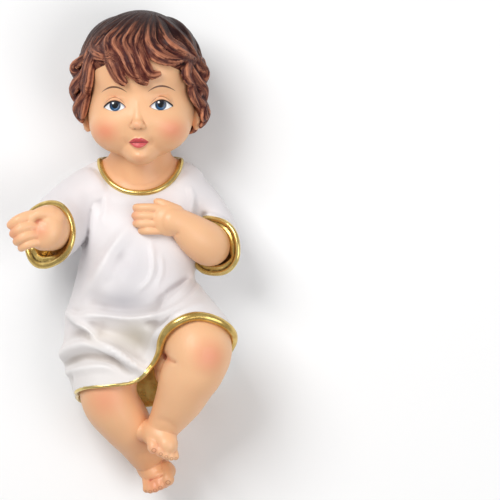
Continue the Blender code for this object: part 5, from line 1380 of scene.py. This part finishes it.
BLUSH = [  # place, radius and strength of the pink worked into knees, fingers, toes and ankles
    ((17.2, -21.6, 29.5), 5.2, 0.50), ((-4.4, -30.6, 21.0), 6.0, 0.38), ((1.6, -39.0, 14.0), 3.4, 0.25),
    ((6.2, -41.0, 20.0), 2.8, 0.35), ((6.0, -48.8, 11.0), 3.2, 0.40), ((-17.2, 4.0, 28.0), 2.8, 0.42),
    ((-22.8, 3.4, 28.0), 2.6, 0.35), ((1.8, 6.8, 20.4), 2.8, 0.35), ((11.0, 3.4, 18.5), 2.4, 0.25),
    ((9.0, -22.2, 25.0), 2.6, 0.30), ((3.4, -38.4, 16.0), 2.4, 0.35),
]
NAILS = [(x + 0.05, y - 0.35 * r, z + 0.75 * r, r * 0.46) for x, y, z, r in RIGHT_TOES + LEFT_TOES]


# Putting the piece in the frame

def painted(pieces, slot, paint):
    """Pieces with their relief stored, brought down to their share of the slot's triangles, and painted."""
    made = []
    sizes = [triangle_count(piece) for piece in pieces]
    for piece, size in zip(pieces, sizes):
        for name, rounds in RELIEF_ROUNDS.items():
            relief(piece, rounds, name)
        if slot == "hair":
            mark_strands(piece)
        piece = thinned(piece, size * TRIANGLES[slot] / sum(sizes))
        piece.data.materials.clear()
        piece.data.materials.append(paint)
        piece.data.shade_smooth()
        made.append(piece)
    return made


def inside_box(points, low, high):
    """points drawn in where they pass the box of the solid, from the middle of its underside."""
    low, high = np.array(low), np.array(high)
    middle = (low + high) / 2
    middle[2] = low[2]
    above, below = np.maximum(points.max(0) - middle, 1e-6), np.maximum(middle - points.min(0), 1e-6)
    room_below = np.where(middle > low, (middle - low) / below, 1)
    fit = np.minimum(1, np.minimum((high - middle) / above, room_below))
    print("fit", fit)
    return middle + (points - middle) * fit


def figurine_piece(low, high):
    paints = {"skin": skin_paint(), "hair": hair_paint(), "robe": robe_paint(), "gilt": gilt_paint()}
    made = []
    for slot, pieces in build().items():
        made += painted(pieces, slot, paints[slot])
    for o in bpy.context.view_layer.objects:
        o.select_set(o in made)
    whole = bpy.context.view_layer.objects.active = made[0]
    bpy.ops.object.join()
    whole.name = whole.data.name = "painted_figurine"
    points = points_of(whole) * UNIT + np.array(SHIFT)
    points[:, 2] = np.maximum(points[:, 2], 0)
    set_points(whole, inside_box(points, low, high))
    print("triangles", triangle_count(whole))
    return whole


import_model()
cad_low, cad_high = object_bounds()
print("CAD box", cad_low, cad_high)
piece = figurine_piece(cad_low, cad_high)
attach(piece, "root")
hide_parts("figurine")


# Studio: a white floor, two soft lights and the photo's viewpoint

bpy.ops.mesh.primitive_plane_add(size=6, location=(0, 0, -0.0002))
floor = bpy.context.object
floor.name = "floor"
floor.data.materials.append(Paint("floor_white", 247, 247, 247).finish(Roughness=0.9))


def softbox(name, place, size, power):
    """A square light aimed at the figure."""
    light = bpy.data.lights.new(name, "AREA")
    light.shape = "RECTANGLE"
    light.size = light.size_y = size
    light.energy = power
    holder = placed(name, light)
    holder.location = place
    holder.rotation_euler = (Vector((0, 0, 0.02)) - Vector(place)).to_track_quat("-Z", "Y").to_euler()


softbox("key", (-0.36, 0.44, 0.78), 0.50, 6.0)
softbox("fill", (0.50, -0.20, 0.76), 0.6, 3.0)
world = bpy.data.worlds.new("studio")
bpy.context.scene.world = world
world.use_nodes = True
sky = world.node_tree.nodes["Background"]
sky.inputs["Color"].default_value = (1, 1, 1, 1)
sky.inputs["Strength"].default_value = 0.37
bpy.context.scene.view_settings.view_transform = "Standard"

camera_data = bpy.data.cameras.new("camera")
camera = placed("camera", camera_data)
bpy.context.scene.camera = camera
PICTURE, SCALE, FIGURE_AT = 500, 4.85, 127  # the picture's width, its pixels to a unit and the figure's place
FRAME_WIDTH = PICTURE / SCALE * UNIT  # what the picture's width covers at the figure
AWAY = 1.4  # from the camera to the middle of the figure, so that it is seen almost flat
MIDDLE = SHIFT + Vector(((PICTURE / 2 - FIGURE_AT) / SCALE * UNIT, 0, 0))
camera.location = (MIDDLE.x, MIDDLE.y, 0.03 + AWAY)
camera_data.sensor_width = 36
camera_data.lens = 36 * AWAY / FRAME_WIDTH
camera_data.clip_end = 20
